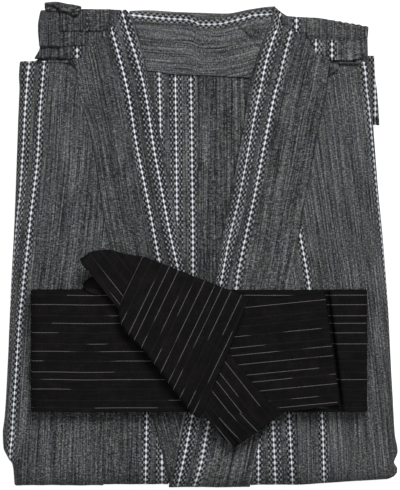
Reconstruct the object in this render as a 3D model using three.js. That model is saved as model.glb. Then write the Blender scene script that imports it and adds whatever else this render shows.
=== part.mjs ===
// A man's cotton kimono robe (yukata), folded flat into a packet with its front up, and its stiff
// belt folded, half tied and laid across it.
// Millimetres, +Z up. X runs across the packet, Y from the hem fold up to the collar, and the
// origin is under the middle of the packet, on the surface that it lies on.
//
// Every piece is a closed wall made from sections. Each section is a line across the piece, from a
// point A to a point B in plan, and the wall is laid down on whatever is under it, like real cloth.
import * as THREE from "three";

// Driving dimensions
const CORE_TOP = 22.5; // top of the folded hidden layers, near the edge of the packet
const CROWN = 1.5; // how much higher the hidden layers stand in the middle
const CLOTH = 1.6; // wall of one panel, with its seam allowances
const COLLAR = 2.0; // wall of the collar band, which is several layers
const BELT = 1.5; // wall of one layer of the stiff belt
const BELT_DOUBLE = 2.8; // the belt folded in half along its length
const BELT_STACK = 10; // the belt's folded stack
const GAP = 0.6; // clearance between a facet and the highest point under it
const CORE_FOLD_R = 6; // rounding of the hidden layers' upper edge
const SKIRT = 3.5; // how far a turned edge goes straight down past its rounding
const ROW_STEP = 26; // longest row of facets in a panel
const HALF_WIDTH = 158.2;
const HALF_LENGTH = 194.4;

const CELL = 2; // size of a cell of the height map that pieces are laid on
const MAP_MARGIN = 6;
const QUARTER = Math.PI / 2;
const SLIVER = 1e-6; // areas and remainders under this count as none
const STOP_CLEARANCE = 2; // a section nearer than this to a turned edge gets no row of its own
const REACH = 1; // a panel's direction is measured over this distance to either side

const COLOURS = {
  robe: { color: 0x505255, roughness: 0.92, metalness: 0 },
  core: { color: 0x46484b, roughness: 0.95, metalness: 0 },
  belt: { color: 0x17161a, roughness: 0.8, metalness: 0 },
};

const group = new THREE.Group();
group.name = "folded_kimono_robe";

// ---------------------------------------------------------------- height map

const mapColumns = Math.ceil((2 * (HALF_WIDTH + MAP_MARGIN)) / CELL);
const mapRows = Math.ceil((2 * (HALF_LENGTH + MAP_MARGIN)) / CELL);
const heightMaps = {}; // of the upper face of each finished piece, by its name

const columnOf = (x) => Math.floor((x + HALF_WIDTH + MAP_MARGIN) / CELL);
const rowOf = (y) => Math.floor((y + HALF_LENGTH + MAP_MARGIN) / CELL);
const xOf = (column) => (column + 0.5) * CELL - HALF_WIDTH - MAP_MARGIN;
const yOf = (row) => (row + 0.5) * CELL - HALF_LENGTH - MAP_MARGIN;

// The highest of the named pieces within one cell of each cell, so that no edge between cell
// centres is missed.
function supportOf(names) {
  const heights = new Float64Array(mapColumns * mapRows);
  for (const name of names) {
    heightMaps[name].forEach((z, cell) => {
      heights[cell] = Math.max(heights[cell], z);
    });
  }
  const wide = new Float64Array(heights.length);
  for (let row = 1; row < mapRows - 1; row++) {
    for (let column = 1; column < mapColumns - 1; column++) {
      let best = 0;
      for (let dr = -1; dr <= 1; dr++) {
        for (let dc = -1; dc <= 1; dc++) {
          best = Math.max(best, heights[(row + dr) * mapColumns + column + dc]);
        }
      }
      wide[row * mapColumns + column] = best;
    }
  }
  return wide;
}

// Calls visit(cell, weights) for each cell centre inside the triangle a, b, c in plan.
function eachCell(a, b, c, visit) {
  const area = (b.x - a.x) * (c.y - a.y) - (b.y - a.y) * (c.x - a.x);
  if (Math.abs(area) < SLIVER) return;
  const lowRow = rowOf(Math.min(a.y, b.y, c.y));
  const highRow = rowOf(Math.max(a.y, b.y, c.y));
  const lowColumn = columnOf(Math.min(a.x, b.x, c.x));
  const highColumn = columnOf(Math.max(a.x, b.x, c.x));
  for (let row = lowRow; row <= highRow; row++) {
    for (let column = lowColumn; column <= highColumn; column++) {
      const x = xOf(column);
      const y = yOf(row);
      const wb = ((x - a.x) * (c.y - a.y) - (y - a.y) * (c.x - a.x)) / area;
      const wc = ((b.x - a.x) * (y - a.y) - (b.y - a.y) * (x - a.x)) / area;
      const wa = 1 - wb - wc;
      if (wa >= 0 && wb >= 0 && wc >= 0) visit(row * mapColumns + column, [wa, wb, wc]);
    }
  }
}

// Both triangles of each square of a grid of points.
function eachTriangle(grid, visit) {
  for (let i = 0; i + 1 < grid.length; i++) {
    for (let j = 0; j + 1 < grid[i].length; j++) {
      visit(grid[i][j], grid[i + 1][j], grid[i + 1][j + 1]);
      visit(grid[i][j], grid[i + 1][j + 1], grid[i][j + 1]);
    }
  }
}

// Keeps the height map of a finished piece's upper face.
function remember(name, grid) {
  const heights = new Float64Array(mapColumns * mapRows);
  heightMaps[name] = heights;
  eachTriangle(grid, (a, b, c) => {
    eachCell(a, b, c, (cell, [wa, wb, wc]) => {
      heights[cell] = Math.max(heights[cell], wa * a.z + wb * b.z + wc * c.z);
    });
  });
}

// Lifts a grid's corners over the highest point under each facet, so that each facet is clear of
// the pieces that it lies on and bridges their edges.
function layDown(grid, on) {
  const under = supportOf(on);
  for (const p of grid.flat()) {
    p.z = Math.max(p.z, under[rowOf(p.y) * mapColumns + columnOf(p.x)] + GAP);
  }
  eachTriangle(grid, (a, b, c) => {
    let most = 0;
    eachCell(a, b, c, (cell) => {
      most = Math.max(most, under[cell]);
    });
    for (const p of [a, b, c]) p.lift = Math.max(p.lift ?? 0, most + GAP);
  });
  for (const p of grid.flat()) p.z = Math.max(p.z, p.lift);
}

// ---------------------------------------------------------------- sections

const mix = (a, b, t) => a + (b - a) * t;

// The section at a distance along the piece, worked out between the rows of its table.
function sectionAt(table, lengths, distance) {
  let k = 0;
  while (k < table.length - 2 && distance > lengths[k + 1]) k++;
  const t = (distance - lengths[k]) / (lengths[k + 1] - lengths[k]);
  const [p, q] = [table[k], table[k + 1]];
  const section = {};
  for (const name of ["ax", "ay", "bx", "by", "az", "bz"]) {
    section[name] = mix(p[name] ?? 0, q[name] ?? 0, t);
  }
  return section;
}

// How far each section's middle is along the piece.
function middleLengths(table) {
  const lengths = [0];
  for (let k = 1; k < table.length; k++) {
    const dx = (table[k].ax + table[k].bx - table[k - 1].ax - table[k - 1].bx) / 2;
    const dy = (table[k].ay + table[k].by - table[k - 1].ay - table[k - 1].by) / 2;
    lengths.push(lengths[k - 1] + Math.hypot(dx, dy));
  }
  return lengths;
}

// Stations across an edge that turns down: the foot of its skirt, and then up round the fold.
const TURN = [
  { angle: QUARTER, skirt: 1 },
  { angle: QUARTER, skirt: 0 },
  { angle: QUARTER * 0.6, skirt: 0 },
  { angle: QUARTER * 0.3, skirt: 0 },
];

// Distances of the stations along a line of the given length, with a turned edge at either end.
function stations(length, startRadius, endRadius, step, stops = []) {
  const found = [];
  const add = (at, side, turn, radius) => found.push({ at, side, radius, ...turn });
  if (startRadius > 0) {
    for (const turn of TURN) add(startRadius * (1 - Math.sin(turn.angle)), -1, turn, startRadius);
  }
  const from = startRadius + STOP_CLEARANCE;
  const to = length - endRadius - STOP_CLEARANCE;
  const marks = [startRadius, ...stops.filter((s) => s > from && s < to)];
  marks.push(length - endRadius);
  for (let k = 0; k + 1 < marks.length; k++) {
    const count = Math.max(1, Math.ceil((marks[k + 1] - marks[k]) / step));
    for (let n = 0; n < count; n++) {
      add(mix(marks[k], marks[k + 1], n / count), 0, { angle: 0, skirt: 0 }, 0);
    }
  }
  add(length - endRadius, 0, { angle: 0, skirt: 0 }, 0);
  if (endRadius > 0) {
    for (const turn of [...TURN].reverse()) {
      add(length - endRadius * (1 - Math.sin(turn.angle)), 1, turn, endRadius);
    }
  }
  return found;
}

// The plan grid of a piece: a point for each row and column, with how far it has turned down.
function planGrid({ table, across, turns = {}, step = ROW_STEP }) {
  const lengths = middleLengths(table);
  const total = lengths[lengths.length - 1];
  const rows = stations(total, turns.first ?? 0, turns.last ?? 0, step, lengths.slice(1, -1));
  return rows.map((row) => {
    const s = sectionAt(table, lengths, row.at);
    const width = Math.hypot(s.bx - s.ax, s.by - s.ay);
    const flat = width - (turns.a ?? 0) - (turns.b ?? 0);
    const columns = stations(width, turns.a ?? 0, turns.b ?? 0, flat / across + SLIVER);
    const ahead = sectionAt(table, lengths, Math.min(total, row.at + REACH));
    const behind = sectionAt(table, lengths, Math.max(0, row.at - REACH));
    const along = new THREE.Vector2(
      ahead.ax + ahead.bx - behind.ax - behind.bx,
      ahead.ay + ahead.by - behind.ay - behind.by,
    ).normalize();
    const over = new THREE.Vector2(s.bx - s.ax, s.by - s.ay).normalize();
    return columns.map((column) => {
      const t = column.at / width;
      return {
        x: mix(s.ax, s.bx, t),
        y: mix(s.ay, s.by, t),
        z: mix(s.az, s.bz, t),
        row,
        column,
        along,
        over,
      };
    });
  });
}

// Moves from a point of the grid to the same point on the inner or outer face of the wall.
function onFace(p, base, depth, thick) {
  let { x, y } = p;
  let drop = 0;
  for (const [turn, way] of [[p.column, p.over], [p.row, p.along]]) {
    if (turn.side === 0) continue;
    x -= turn.side * way.x * depth * Math.sin(turn.angle);
    y -= turn.side * way.y * depth * Math.sin(turn.angle);
    drop = Math.max(drop, (turn.radius - depth) * (1 - Math.cos(turn.angle)) + turn.skirt * SKIRT);
  }
  return { x, y, z: base + thick - depth - drop };
}

// The heights of the flat part, laid on what is under it; turned points take their neighbour's.
function baseHeights(plan, on, least) {
  const flatRows = plan.map((_, i) => i).filter((i) => plan[i][0].row.side === 0);
  const flatColumns = plan[0].map((_, j) => j).filter((j) => plan[0][j].column.side === 0);
  const flat = flatRows.map((i) => flatColumns.map((j) => {
    const p = plan[i][j];
    return { x: p.x, y: p.y, z: least(p) };
  }));
  layDown(flat, on);
  const nearest = (list, k) => Math.min(Math.max(k - list[0], 0), list.length - 1);
  return plan.map((line, i) => line.map((_, j) => flat[nearest(flatRows, i)][nearest(flatColumns, j)].z));
}

// ---------------------------------------------------------------- solids

// A closed mesh from an upper grid, a lower grid and loops of points between their rims.
function closedMesh(name, look, upper, lower, loops = []) {
  const points = [];
  const faces = [];
  const index = new Map();
  const at = (p) => {
    if (!index.has(p)) {
      index.set(p, points.length / 3);
      points.push(p.x, p.y, p.z);
    }
    return index.get(p);
  };
  eachTriangle(upper, (a, b, c) => faces.push(at(a), at(b), at(c)));
  eachTriangle(lower, (a, b, c) => faces.push(at(a), at(c), at(b)));
  const rims = [rim(upper), ...loops, rim(lower)];
  for (let k = 0; k + 1 < rims.length; k++) {
    for (let n = 0; n < rims[k].length; n++) {
      const m = (n + 1) % rims[k].length;
      faces.push(at(rims[k][n]), at(rims[k + 1][n]), at(rims[k + 1][m]));
      faces.push(at(rims[k][n]), at(rims[k + 1][m]), at(rims[k][m]));
    }
  }
  if (signedVolume(points, faces) < 0) faces.reverse();
  const geometry = new THREE.BufferGeometry();
  geometry.setAttribute("position", new THREE.Float32BufferAttribute(points, 3));
  geometry.setIndex(faces);
  geometry.computeVertexNormals();
  const mesh = new THREE.Mesh(geometry, new THREE.MeshStandardMaterial(look));
  mesh.name = name;
  group.add(mesh);
}

// The grid's outer points, once round.
function rim(grid) {
  const last = grid.length - 1;
  const end = grid[0].length - 1;
  const down = grid.map((line) => line[0]);
  const foot = grid[last].slice(1, end);
  const up = grid.map((line) => line[end]).reverse();
  const head = grid[0].slice(1, end).reverse();
  return [...down, ...foot, ...up, ...head];
}

function signedVolume(points, faces) {
  const corner = (k) => new THREE.Vector3().fromArray(points, 3 * faces[k]);
  let sum = 0;
  for (let k = 0; k < faces.length; k += 3) {
    sum += corner(k).dot(corner(k + 1).cross(corner(k + 2)));
  }
  return sum / 6;
}

// One panel of cloth, laid on the pieces named in shape.on.
function panel(name, look, thick, shape, least = () => CORE_TOP) {
  const plan = planGrid(shape);
  const base = baseHeights(plan, shape.on, least);
  const face = (depth) => plan.map((line, i) => line.map((p, j) => onFace(p, base[i][j], depth, thick)));
  const upper = face(0);
  closedMesh(name, look, upper, face(thick));
  remember(name, upper);
}

// ---------------------------------------------------------------- hidden layers

// The packet's outline in plan at the height of its folds. Each row is one level along Y.
const PACKET = [
  { y: 150, left: -132, right: 134.5 },
  { y: 142, left: -143.6, right: 135.6 },
  { y: 118, left: -145.1, right: 136.9 },
  { y: 84, left: -146.4, right: 139.4 },
  { y: 35, left: -148, right: 143.2 },
  { y: -10, left: -150.4, right: 147 },
  { y: -58, left: -152.6, right: 150.6 },
  { y: -90, left: -154, right: 152.2 },
  { y: -127, left: -155.8, right: 154.4 },
  { y: -152, left: -158.1, right: 156.6 },
  { y: -166, left: -156.4, right: 158.2 },
  { y: -176, left: -151.4, right: 156.4 },
];
const CORE_HEAD = { ax: -123, ay: 182, bx: 123, by: 170.5 }; // the packet's slanted upper end
const CORE_HEM = { ax: -146.4, ay: -189.6, bx: 150.2, by: -185.6 }; // and its lower end
const CORE_INSET = 2.6; // the hidden layers' fold lies this far inside the outline

// Folds of the hidden layers, seen from the side: out is how far each stands past the upper fold.
const CORE_RINGS = [
  { z: 13.2, out: 0 },
  { z: 12.4, out: -1.2 },
  { z: 11.2, out: 0.4 },
  { z: 9.4, out: 1.2 },
  { z: 7.4, out: 0.4 },
  { z: 6.4, out: -1.3 },
  { z: 5.4, out: 0.6 },
  { z: 3.2, out: 1.5 },
  { z: 1.0, out: 0.5 },
];
const CORE_FOOT_INSET = 2; // the flat underside ends this far inside the upper fold

function foldedCore() {
  const inset = ({ y, left, right }) => ({ ax: left + CORE_INSET, ay: y, bx: right - CORE_INSET, by: y });
  const table = [CORE_HEAD, ...PACKET.map(inset), CORE_HEM];
  const turned = { a: CORE_FOLD_R, b: CORE_FOLD_R, first: CORE_FOLD_R, last: CORE_FOLD_R };
  const plan = planGrid({ table, across: 9, turns: turned, step: 40 });
  const crown = (p) => CROWN * (1 - (p.x / HALF_WIDTH) ** 2) * (1 - (p.y / HALF_LENGTH) ** 4);
  const noSkirt = (p) => ({ ...p, row: { ...p.row, skirt: 0 }, column: { ...p.column, skirt: 0 } });
  const kept = plan.slice(1, -1).map((line) => line.slice(1, -1).map(noSkirt));
  const upper = kept.map((line) => line.map((p) => onFace(p, CORE_TOP + crown(p), 0, 0)));
  const moved = (p, top, out, z) => ({
    x: top.x + p.column.side * p.over.x * out * Math.sin(p.column.angle),
    y: top.y + p.row.side * p.along.y * out * Math.sin(p.row.angle),
    z: Math.min(z, top.z),
  });
  const planRim = rim(kept);
  const upperRim = rim(upper);
  const loops = CORE_RINGS.map((ring) => upperRim.map((top, n) => {
    const z = Math.min(ring.z, top.z * (ring.z / CORE_RINGS[0].z));
    return moved(planRim[n], top, ring.out, z);
  }));
  const lower = kept.map((line, i) => line.map((p, j) => moved(p, upper[i][j], -CORE_FOOT_INSET, 0)));
  closedMesh("folded_core", COLOURS.core, upper, lower, loops);
  remember("folded_core", upper);
}

foldedCore();

// ---------------------------------------------------------------- robe panels

// Shorthand for a section that runs level across the packet.
const level = ({ y, left, right }) => ({ ax: left, ay: y, bx: right, by: y });

const SEAM_BACK = -1.8; // centre-back seam
const SHOULDER_R = 4; // rounding of a panel where it folds over the upper edge
const HEM_R = 8; // rounding of a panel where it folds round the edge of the packet
const COLLAR_HEM_R = 8.4;
const COLLAR_OVER_HEM_R = 10.4;

const BACK_RIGHT = [
  { y: 146, left: -54, right: SEAM_BACK - GAP / 2 },
  { y: 120, left: -48, right: SEAM_BACK - GAP / 2 },
  { y: 92, left: -42.5, right: SEAM_BACK - GAP / 2 },
  { y: 12, left: -27.4, right: SEAM_BACK - GAP / 2 },
  { y: -19, left: -20.6, right: SEAM_BACK - GAP / 2 },
  { y: -50, left: -12, right: SEAM_BACK - GAP / 2 },
];
const BACK_LEFT = [
  { y: 146, left: SEAM_BACK + GAP / 2, right: 53 },
  { y: 124, left: SEAM_BACK + GAP / 2, right: 49.5 },
  { y: 94, left: SEAM_BACK + GAP / 2, right: 45 },
  { y: 60, left: SEAM_BACK + GAP / 2, right: 38.6 },
  { y: 9, left: SEAM_BACK + GAP / 2, right: 28.2 },
  { y: -50, left: SEAM_BACK + GAP / 2, right: 16 },
];

panel("back_right", COLOURS.robe, CLOTH, {
  table: BACK_RIGHT.map(level),
  across: 2,
  on: ["folded_core"],
});
panel("back_left", COLOURS.robe, CLOTH, {
  table: BACK_LEFT.map(level),
  across: 3,
  on: ["folded_core"],
});

// The collar band round the back of the neck: A is its seam, B the fold along its top.
const NECK = [
  { ax: -53, ay: 139, bx: -57, by: 186.8 },
  { ax: -41, ay: 139, bx: -43, by: 187.2 },
  { ax: -19, ay: 136, bx: -19, by: 185.9 },
  { ax: 0, ay: 135.5, bx: 0, by: 185.3 },
  { ax: 20, ay: 134.5, bx: 20, by: 184.6 },
  { ax: 40.6, ay: 133.6, bx: 40.6, by: 188 },
  { ax: 52, ay: 133.4, bx: 55, by: 189.4 },
];
panel("collar_neck", COLOURS.robe, COLLAR, {
  table: NECK,
  across: 3,
  turns: { b: SHOULDER_R },
  on: ["folded_core", "back_right", "back_left"],
});

// Wearer's right front: the side fold on the left, the collar seam and then the overlap seam.
const FRONT_RIGHT = [
  { y: 146.8, left: -143.3, right: -103 },
  { y: 141, left: -143.8, right: -100 },
  { y: 118, left: -145.1, right: -96.4 },
  { y: 92, left: -146.1, right: -88.8 },
  { y: 12, left: -149, right: -75.2 },
  { y: -44, left: -152, right: -61.6 },
  { y: -90, left: -154, right: -69.4 },
  { y: -137, left: -156.6, right: -77.4 },
  { y: -152, left: -158.1, right: -77.6 },
  { y: -166, left: -156.4, right: -77.8 },
  { y: -176, left: -151.4, right: -78 },
  { y: -192.2, left: -149, right: -78.2 },
];
panel("front_right", COLOURS.robe, CLOTH, {
  table: FRONT_RIGHT.map(level),
  across: 5,
  turns: { a: HEM_R, last: HEM_R },
  on: ["folded_core"],
});

const OVERLAP_RIGHT = [
  { y: -48, left: -61.4, right: -60.6 },
  { y: -90, left: -69, right: -50.4 },
  { y: -137, left: -77, right: -38.8 },
  { y: -162, left: -77.2, right: -32 },
  { y: -192.2, left: -77.8, right: -25.8 },
];
panel("overlap_right", COLOURS.robe, CLOTH, {
  table: OVERLAP_RIGHT.map(level),
  across: 3,
  turns: { last: HEM_R },
  on: ["folded_core"],
});

// Collar down the wearer's right: A is its seam to the front, B its folded edge.
const COLLAR_RIGHT = [
  { y: 185.8, left: -112, right: -58.4 },
  { y: 177, left: -108, right: -52.2 },
  { y: 150, left: -103, right: -45.1 },
  { y: 141, left: -99.6, right: -42.8 },
  { y: 118, left: -96, right: -37.8 },
  { y: 92, left: -88.4, right: -32.7 },
  { y: 12, left: -74.8, right: -17.4 },
  { y: -19, left: -67.2, right: -10.6 },
  { y: -137, left: -38.4, right: 17.6 },
  { y: -162, left: -31.6, right: 22.6 },
  { y: -191.9, left: -25.4, right: 28 },
];
panel("collar_right", COLOURS.robe, COLLAR, {
  table: COLLAR_RIGHT.map(level),
  across: 4,
  turns: { first: SHOULDER_R, last: COLLAR_HEM_R },
  on: ["folded_core", "back_right", "collar_neck"],
});

// Wearer's left front, which lies over the right one.
const FRONT_LEFT = [
  { y: 146, left: 104.6, right: 135.2 },
  { y: 139, left: 103.6, right: 135.6 },
  { y: 124, left: 101.2, right: 136.6 },
  { y: 108, left: 98, right: 137.6 },
  { y: 76, left: 91.4, right: 140 },
  { y: 42, left: 85.2, right: 142.6 },
  { y: 9, left: 79.8, right: 145.8 },
  { y: -56, left: 67.6, right: 150.6 },
  { y: -90, left: 71.8, right: 152.2 },
  { y: -137, left: 77.2, right: 155 },
  { y: -166, left: 78.6, right: 158.2 },
  { y: -176, left: 78.8, right: 156.4 },
];
const FRONT_LEFT_HEM = { ax: 79.6, ay: -192, bx: 152.8, by: -188.6 };
panel("front_left", COLOURS.robe, CLOTH, {
  table: [...FRONT_LEFT.map(level), FRONT_LEFT_HEM],
  across: 4,
  turns: { b: HEM_R, last: HEM_R },
  on: ["folded_core"],
});

const OVERLAP_LEFT = [
  { y: -60, left: 66.4, right: 67.4 },
  { y: -90, left: 60.4, right: 71.2 },
  { y: -137, left: 51.2, right: 76.6 },
  { y: -176, left: 43.8, right: 78.2 },
  { y: -192.4, left: 41.2, right: 79 },
];
panel("overlap_left", COLOURS.robe, CLOTH, {
  table: OVERLAP_LEFT.map(level),
  across: 2,
  turns: { last: HEM_R },
  on: ["folded_core"],
});

// Collar down the wearer's left, on top below the crossing: A is its folded edge, B its seam.
const COLLAR_LEFT_HEAD = [
  { ax: 58.6, ay: 190, bx: 65.4, by: 179 },
  { ax: 57, ay: 179, bx: 75, by: 175.4 },
  { ax: 56.4, ay: 177, bx: 105, by: 167 },
  { ax: 50.8, ay: 165, bx: 107, by: 158 },
];
const COLLAR_LEFT = [
  { y: 143, left: 43.6, right: 103.4 },
  { y: 124, left: 39.6, right: 100.6 },
  { y: 94, left: 35, right: 94.4 },
  { y: 60, left: 28.8, right: 87.8 },
  { y: 9, left: 18.2, right: 79 },
  { y: -24, left: 12, right: 73 },
  { y: -137, left: -13.6, right: 50.6 },
  { y: -176, left: -21.8, right: 43.2 },
  { y: -194.4, left: -25.4, right: 40.2 },
];
panel("collar_left", COLOURS.robe, COLLAR, {
  table: [...COLLAR_LEFT_HEAD, ...COLLAR_LEFT.map(level)],
  across: 4,
  turns: { last: COLLAR_OVER_HEM_R },
  on: ["folded_core", "back_right", "back_left", "collar_neck", "collar_right"],
});

// ---------------------------------------------------------------- shoulders

// Each pleat lies over the one before it, and its lower edge is a fold.
const PLEAT_RIGHT_3 = [
  { y: 168, left: -128.2, right: -90 },
  { y: 158, left: -128.6, right: -88 },
  { y: 149.6, left: -132.8, right: -92.6 },
];
const PLEAT_RIGHT_2 = [
  { y: 180, left: -128.6, right: -80 },
  { y: 170, left: -129.2, right: -74 },
  { y: 159.4, left: -128.6, right: -89.4 },
];
const SLEEVE_SEAM = -111.8; // where the sleeve joins the body
const PLEAT_RIGHT_1 = [
  { y: 188.2, left: SLEEVE_SEAM + GAP / 2, right: -64.4 },
  { y: 180, left: SLEEVE_SEAM + GAP / 2, right: -67 },
  { y: 171.2, left: SLEEVE_SEAM + GAP / 2, right: -73 },
];
const SLEEVE_RIGHT = [
  { y: 187.6, left: -128.2, right: SLEEVE_SEAM - GAP / 2 },
  { y: 175, left: -130, right: SLEEVE_SEAM - GAP / 2 },
  { y: 159, left: -128.8, right: SLEEVE_SEAM - GAP / 2 },
];
panel("front_right_pleat_3", COLOURS.robe, CLOTH, {
  table: PLEAT_RIGHT_3.map(level),
  across: 4,
  step: 8,
  on: ["folded_core", "front_right", "collar_right"],
});
panel("front_right_pleat_2", COLOURS.robe, CLOTH, {
  table: PLEAT_RIGHT_2.map(level),
  across: 4,
  step: 8,
  on: ["folded_core", "collar_right", "front_right_pleat_3"],
});
panel("front_right_pleat_1", COLOURS.robe, CLOTH, {
  table: PLEAT_RIGHT_1.map(level),
  across: 4,
  step: 8,
  turns: { first: SHOULDER_R },
  on: ["folded_core", "collar_right", "front_right_pleat_2"],
});
panel("sleeve_right", COLOURS.robe, CLOTH, {
  table: SLEEVE_RIGHT.map(level),
  across: 2,
  step: 8,
  turns: { first: SHOULDER_R },
  on: ["folded_core", "front_right_pleat_3", "front_right_pleat_2"],
});

// The sleeve's corner, turned up over the shoulder: A is its free edge, B its fold.
const SLEEVE_CORNER = [
  { ax: -124, ay: 187.6, bx: -124.4, by: 193.2 },
  { ax: -117, ay: 187, bx: -118, by: 194.4 },
  { ax: -106, ay: 184.4, bx: -106, by: 192.4 },
  { ax: -100.4, ay: 182.2, bx: -99.4, by: 190.8 },
  { ax: -94.6, ay: 187, bx: -93.6, by: 189.8 },
];
panel("sleeve_right_corner", COLOURS.robe, CLOTH, {
  table: SLEEVE_CORNER,
  across: 2,
  step: 8,
  on: ["front_right_pleat_1", "sleeve_right"],
});

const PLEAT_LEFT_2 = [
  { ax: 87, ay: 165, bx: 86, by: 172 },
  { ax: 92.6, ay: 153.6, bx: 92.6, by: 173 },
  { ax: 97.4, ay: 150.4, bx: 97.4, by: 173 },
  { ax: 107, ay: 147.8, bx: 107, by: 172 },
  { ax: 120, ay: 147.8, bx: 120, by: 170 },
  { ax: 134.4, ay: 151.6, bx: 134, by: 168 },
];
const PLEAT_LEFT_1 = [
  { ax: 67.6, ay: 178, bx: 67.4, by: 183.4 },
  { ax: 71, ay: 173.6, bx: 71, by: 182.6 },
  { ax: 76.6, ay: 171, bx: 76.6, by: 182.2 },
  { ax: 88.6, ay: 164.8, bx: 92, by: 181.4 },
  { ax: 120, ay: 163.8, bx: 120, by: 177.2 },
  { ax: 133.6, ay: 163.8, bx: 135, by: 174 },
];
panel("front_left_pleat_2", COLOURS.robe, CLOTH, {
  table: PLEAT_LEFT_2,
  across: 3,
  step: 14,
  on: ["folded_core", "front_left", "collar_left"],
});
panel("front_left_pleat_1", COLOURS.robe, CLOTH, {
  table: PLEAT_LEFT_1,
  across: 2,
  step: 14,
  turns: { b: SHOULDER_R },
  on: ["folded_core", "collar_left", "front_left_pleat_2"],
});

// The left sleeve's fold stands out of the side, lower down.
const SLEEVE_LEFT_Z = 12.2;
const SLEEVE_LEFT_THICK = 3;
const SLEEVE_LEFT = [
  { y: 152.4, left: 134, right: 140.2 },
  { y: 139, left: 135.2, right: 140.8 },
  { y: 122, left: 136.4, right: 142.7 },
  { y: 109, left: 137.4, right: 143.7 },
  { y: 96.6, left: 138.4, right: 144.4 },
];

// ---------------------------------------------------------------- belt

// Its folded stack: A is the lower edge, B the upper one.
const STACK = [
  { ax: -134.6, ay: -132.2, bx: -134.6, by: -36 },
  { ax: -60, ay: -132.8, bx: -60, by: -36.4 },
  { ax: 0, ay: -133, bx: 0, by: -37 },
  { ax: 70, ay: -132.4, bx: 68, by: -37.4 },
  { ax: 134.2, ay: -131.2, bx: 131.8, by: -38.2 },
];
// Its layers, seen from the side: up is the share of its height, out how far they stand out.
const STACK_RINGS = [
  { up: 0.95, out: 0.5 },
  { up: 0.74, out: -0.3 },
  { up: 0.6, out: 0.4 },
  { up: 0.38, out: -0.4 },
  { up: 0.2, out: 0.4 },
];

const ROBE_UNDER_BELT = [
  "folded_core",
  "front_right",
  "overlap_right",
  "back_right",
  "back_left",
  "collar_right",
  "front_left",
  "overlap_left",
  "collar_left",
];

function beltStack() {
  const plan = planGrid({ table: STACK, across: 5 });
  const base = baseHeights(plan, ROBE_UNDER_BELT, () => CORE_TOP);
  const top = Math.max(...base.flat()) + BELT_STACK;
  const lower = plan.map((line, i) => line.map((p, j) => ({ x: p.x, y: p.y, z: base[i][j] })));
  const upper = plan.map((line) => line.map((p) => ({ x: p.x, y: p.y, z: top })));
  const centre = { x: 0, y: (STACK[0].ay + STACK[0].by) / 2 };
  const half = { x: STACK[0].ax * -1, y: (STACK[0].by - STACK[0].ay) / 2 };
  const loops = STACK_RINGS.map(({ up, out }) => rim(lower).map((p) => ({
    x: p.x + (out * (p.x - centre.x)) / half.x,
    y: p.y + (out * (p.y - centre.y)) / half.y,
    z: mix(p.z, top, up),
  })));
  closedMesh("belt_stack", COLOURS.belt, upper, lower, loops);
  remember("belt_stack", upper);
  return top;
}

const stackTop = beltStack();

// The right strap comes out from under the tie: A is its lower edge, B its upper one.
const STRAP = [
  { ax: 4, ay: -130, bx: -58, by: -54 },
  { ax: 40, ay: -134, bx: 38, by: -43 },
  { ax: 63, ay: -133.2, bx: 68, by: -39.8 },
  { ax: 112.6, ay: -127.6, bx: 100.6, by: -36.8 },
];
panel("belt_strap", COLOURS.belt, BELT, {
  table: STRAP,
  across: 3,
  step: 40,
  on: ["belt_stack", "collar_left", "overlap_left"],
}, () => stackTop + GAP);

// The tail is folded in half along its length and runs down to the right, under the tie.
// az and bz are how far each side stands over the top of the stack.
const TAIL = [
  { ax: -95.4, ay: -11.4, bx: -84, by: -5, az: 4, bz: 4 },
  { ax: -88, ay: -21.6, bx: -62, by: -7.4, az: 4.4, bz: 4.4 },
  { ax: -76.6, ay: -36.4, bx: -45.8, by: -10.4, az: 4.6, bz: 4.6 },
  { ax: -12, ay: -115, bx: 23.2, by: -87.4, az: 2.4, bz: 2.4 },
  { ax: 3.2, ay: -135, bx: 39.6, by: -108, az: 2.2, bz: 2.4 },
  { ax: 15, ay: -150.6, bx: 51.6, by: -122.4, az: -2.6, bz: 1.6 },
  { ax: 27, ay: -161.6, bx: 63.2, by: -135.8, az: -7.6, bz: -3 },
];
const overStack = (p) => stackTop + p.z;
panel("belt_tail", COLOURS.belt, BELT_DOUBLE, {
  table: TAIL,
  across: 3,
  step: 24,
  on: ["belt_stack", "belt_strap", "front_right", "collar_left", "overlap_left"],
}, overStack);

// The tie goes over everything: A is its left side, with the fold it comes up from, B its right.
const OVER = [
  { ax: -45.8, ay: -9.6, bx: 38.2, by: -42.6, az: 8, bz: 3.4 },
  { ax: -64, ay: -56, bx: 31, by: -62.6, az: 9.4, bz: 3.4 },
  { ax: -42.4, ay: -86, bx: 20.6, by: -89.4, az: 9.4, bz: 3.4 },
  { ax: -19, ay: -117, bx: 10.2, by: -113.6, az: 8.6, bz: 3.4 },
  { ax: -5.8, ay: -134.4, bx: -0.4, by: -137.6, az: 7.6, bz: 6 },
];
panel("belt_over", COLOURS.belt, BELT, {
  table: OVER,
  across: 5,
  step: 20,
  on: ["belt_stack", "belt_strap", "belt_tail"],
}, overStack);

// ---------------------------------------------------------------- side fold of the left sleeve

function sleeveLeft() {
  const plan = planGrid({ table: SLEEVE_LEFT.map(level), across: 2 });
  const face = (z) => plan.map((line) => line.map((p) => ({ x: p.x, y: p.y, z })));
  closedMesh("sleeve_left", COLOURS.robe, face(SLEEVE_LEFT_Z), face(SLEEVE_LEFT_Z - SLEEVE_LEFT_THICK));
}

sleeveLeft();

export default group;
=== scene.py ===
"""Looks of a man's folded cotton kimono robe (yukata) with its stiff belt laid across it.

Sizes in the tables are millimetres in the frame of the CAD model: +X across the packet, +Y up to
the collar, +Z up. Each piece of cloth is a thin closed shell. Its sections follow those of its
CAD piece closely, it is laid on whatever is under it, and creases and ribs are pressed into it.
"""
import math

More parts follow.
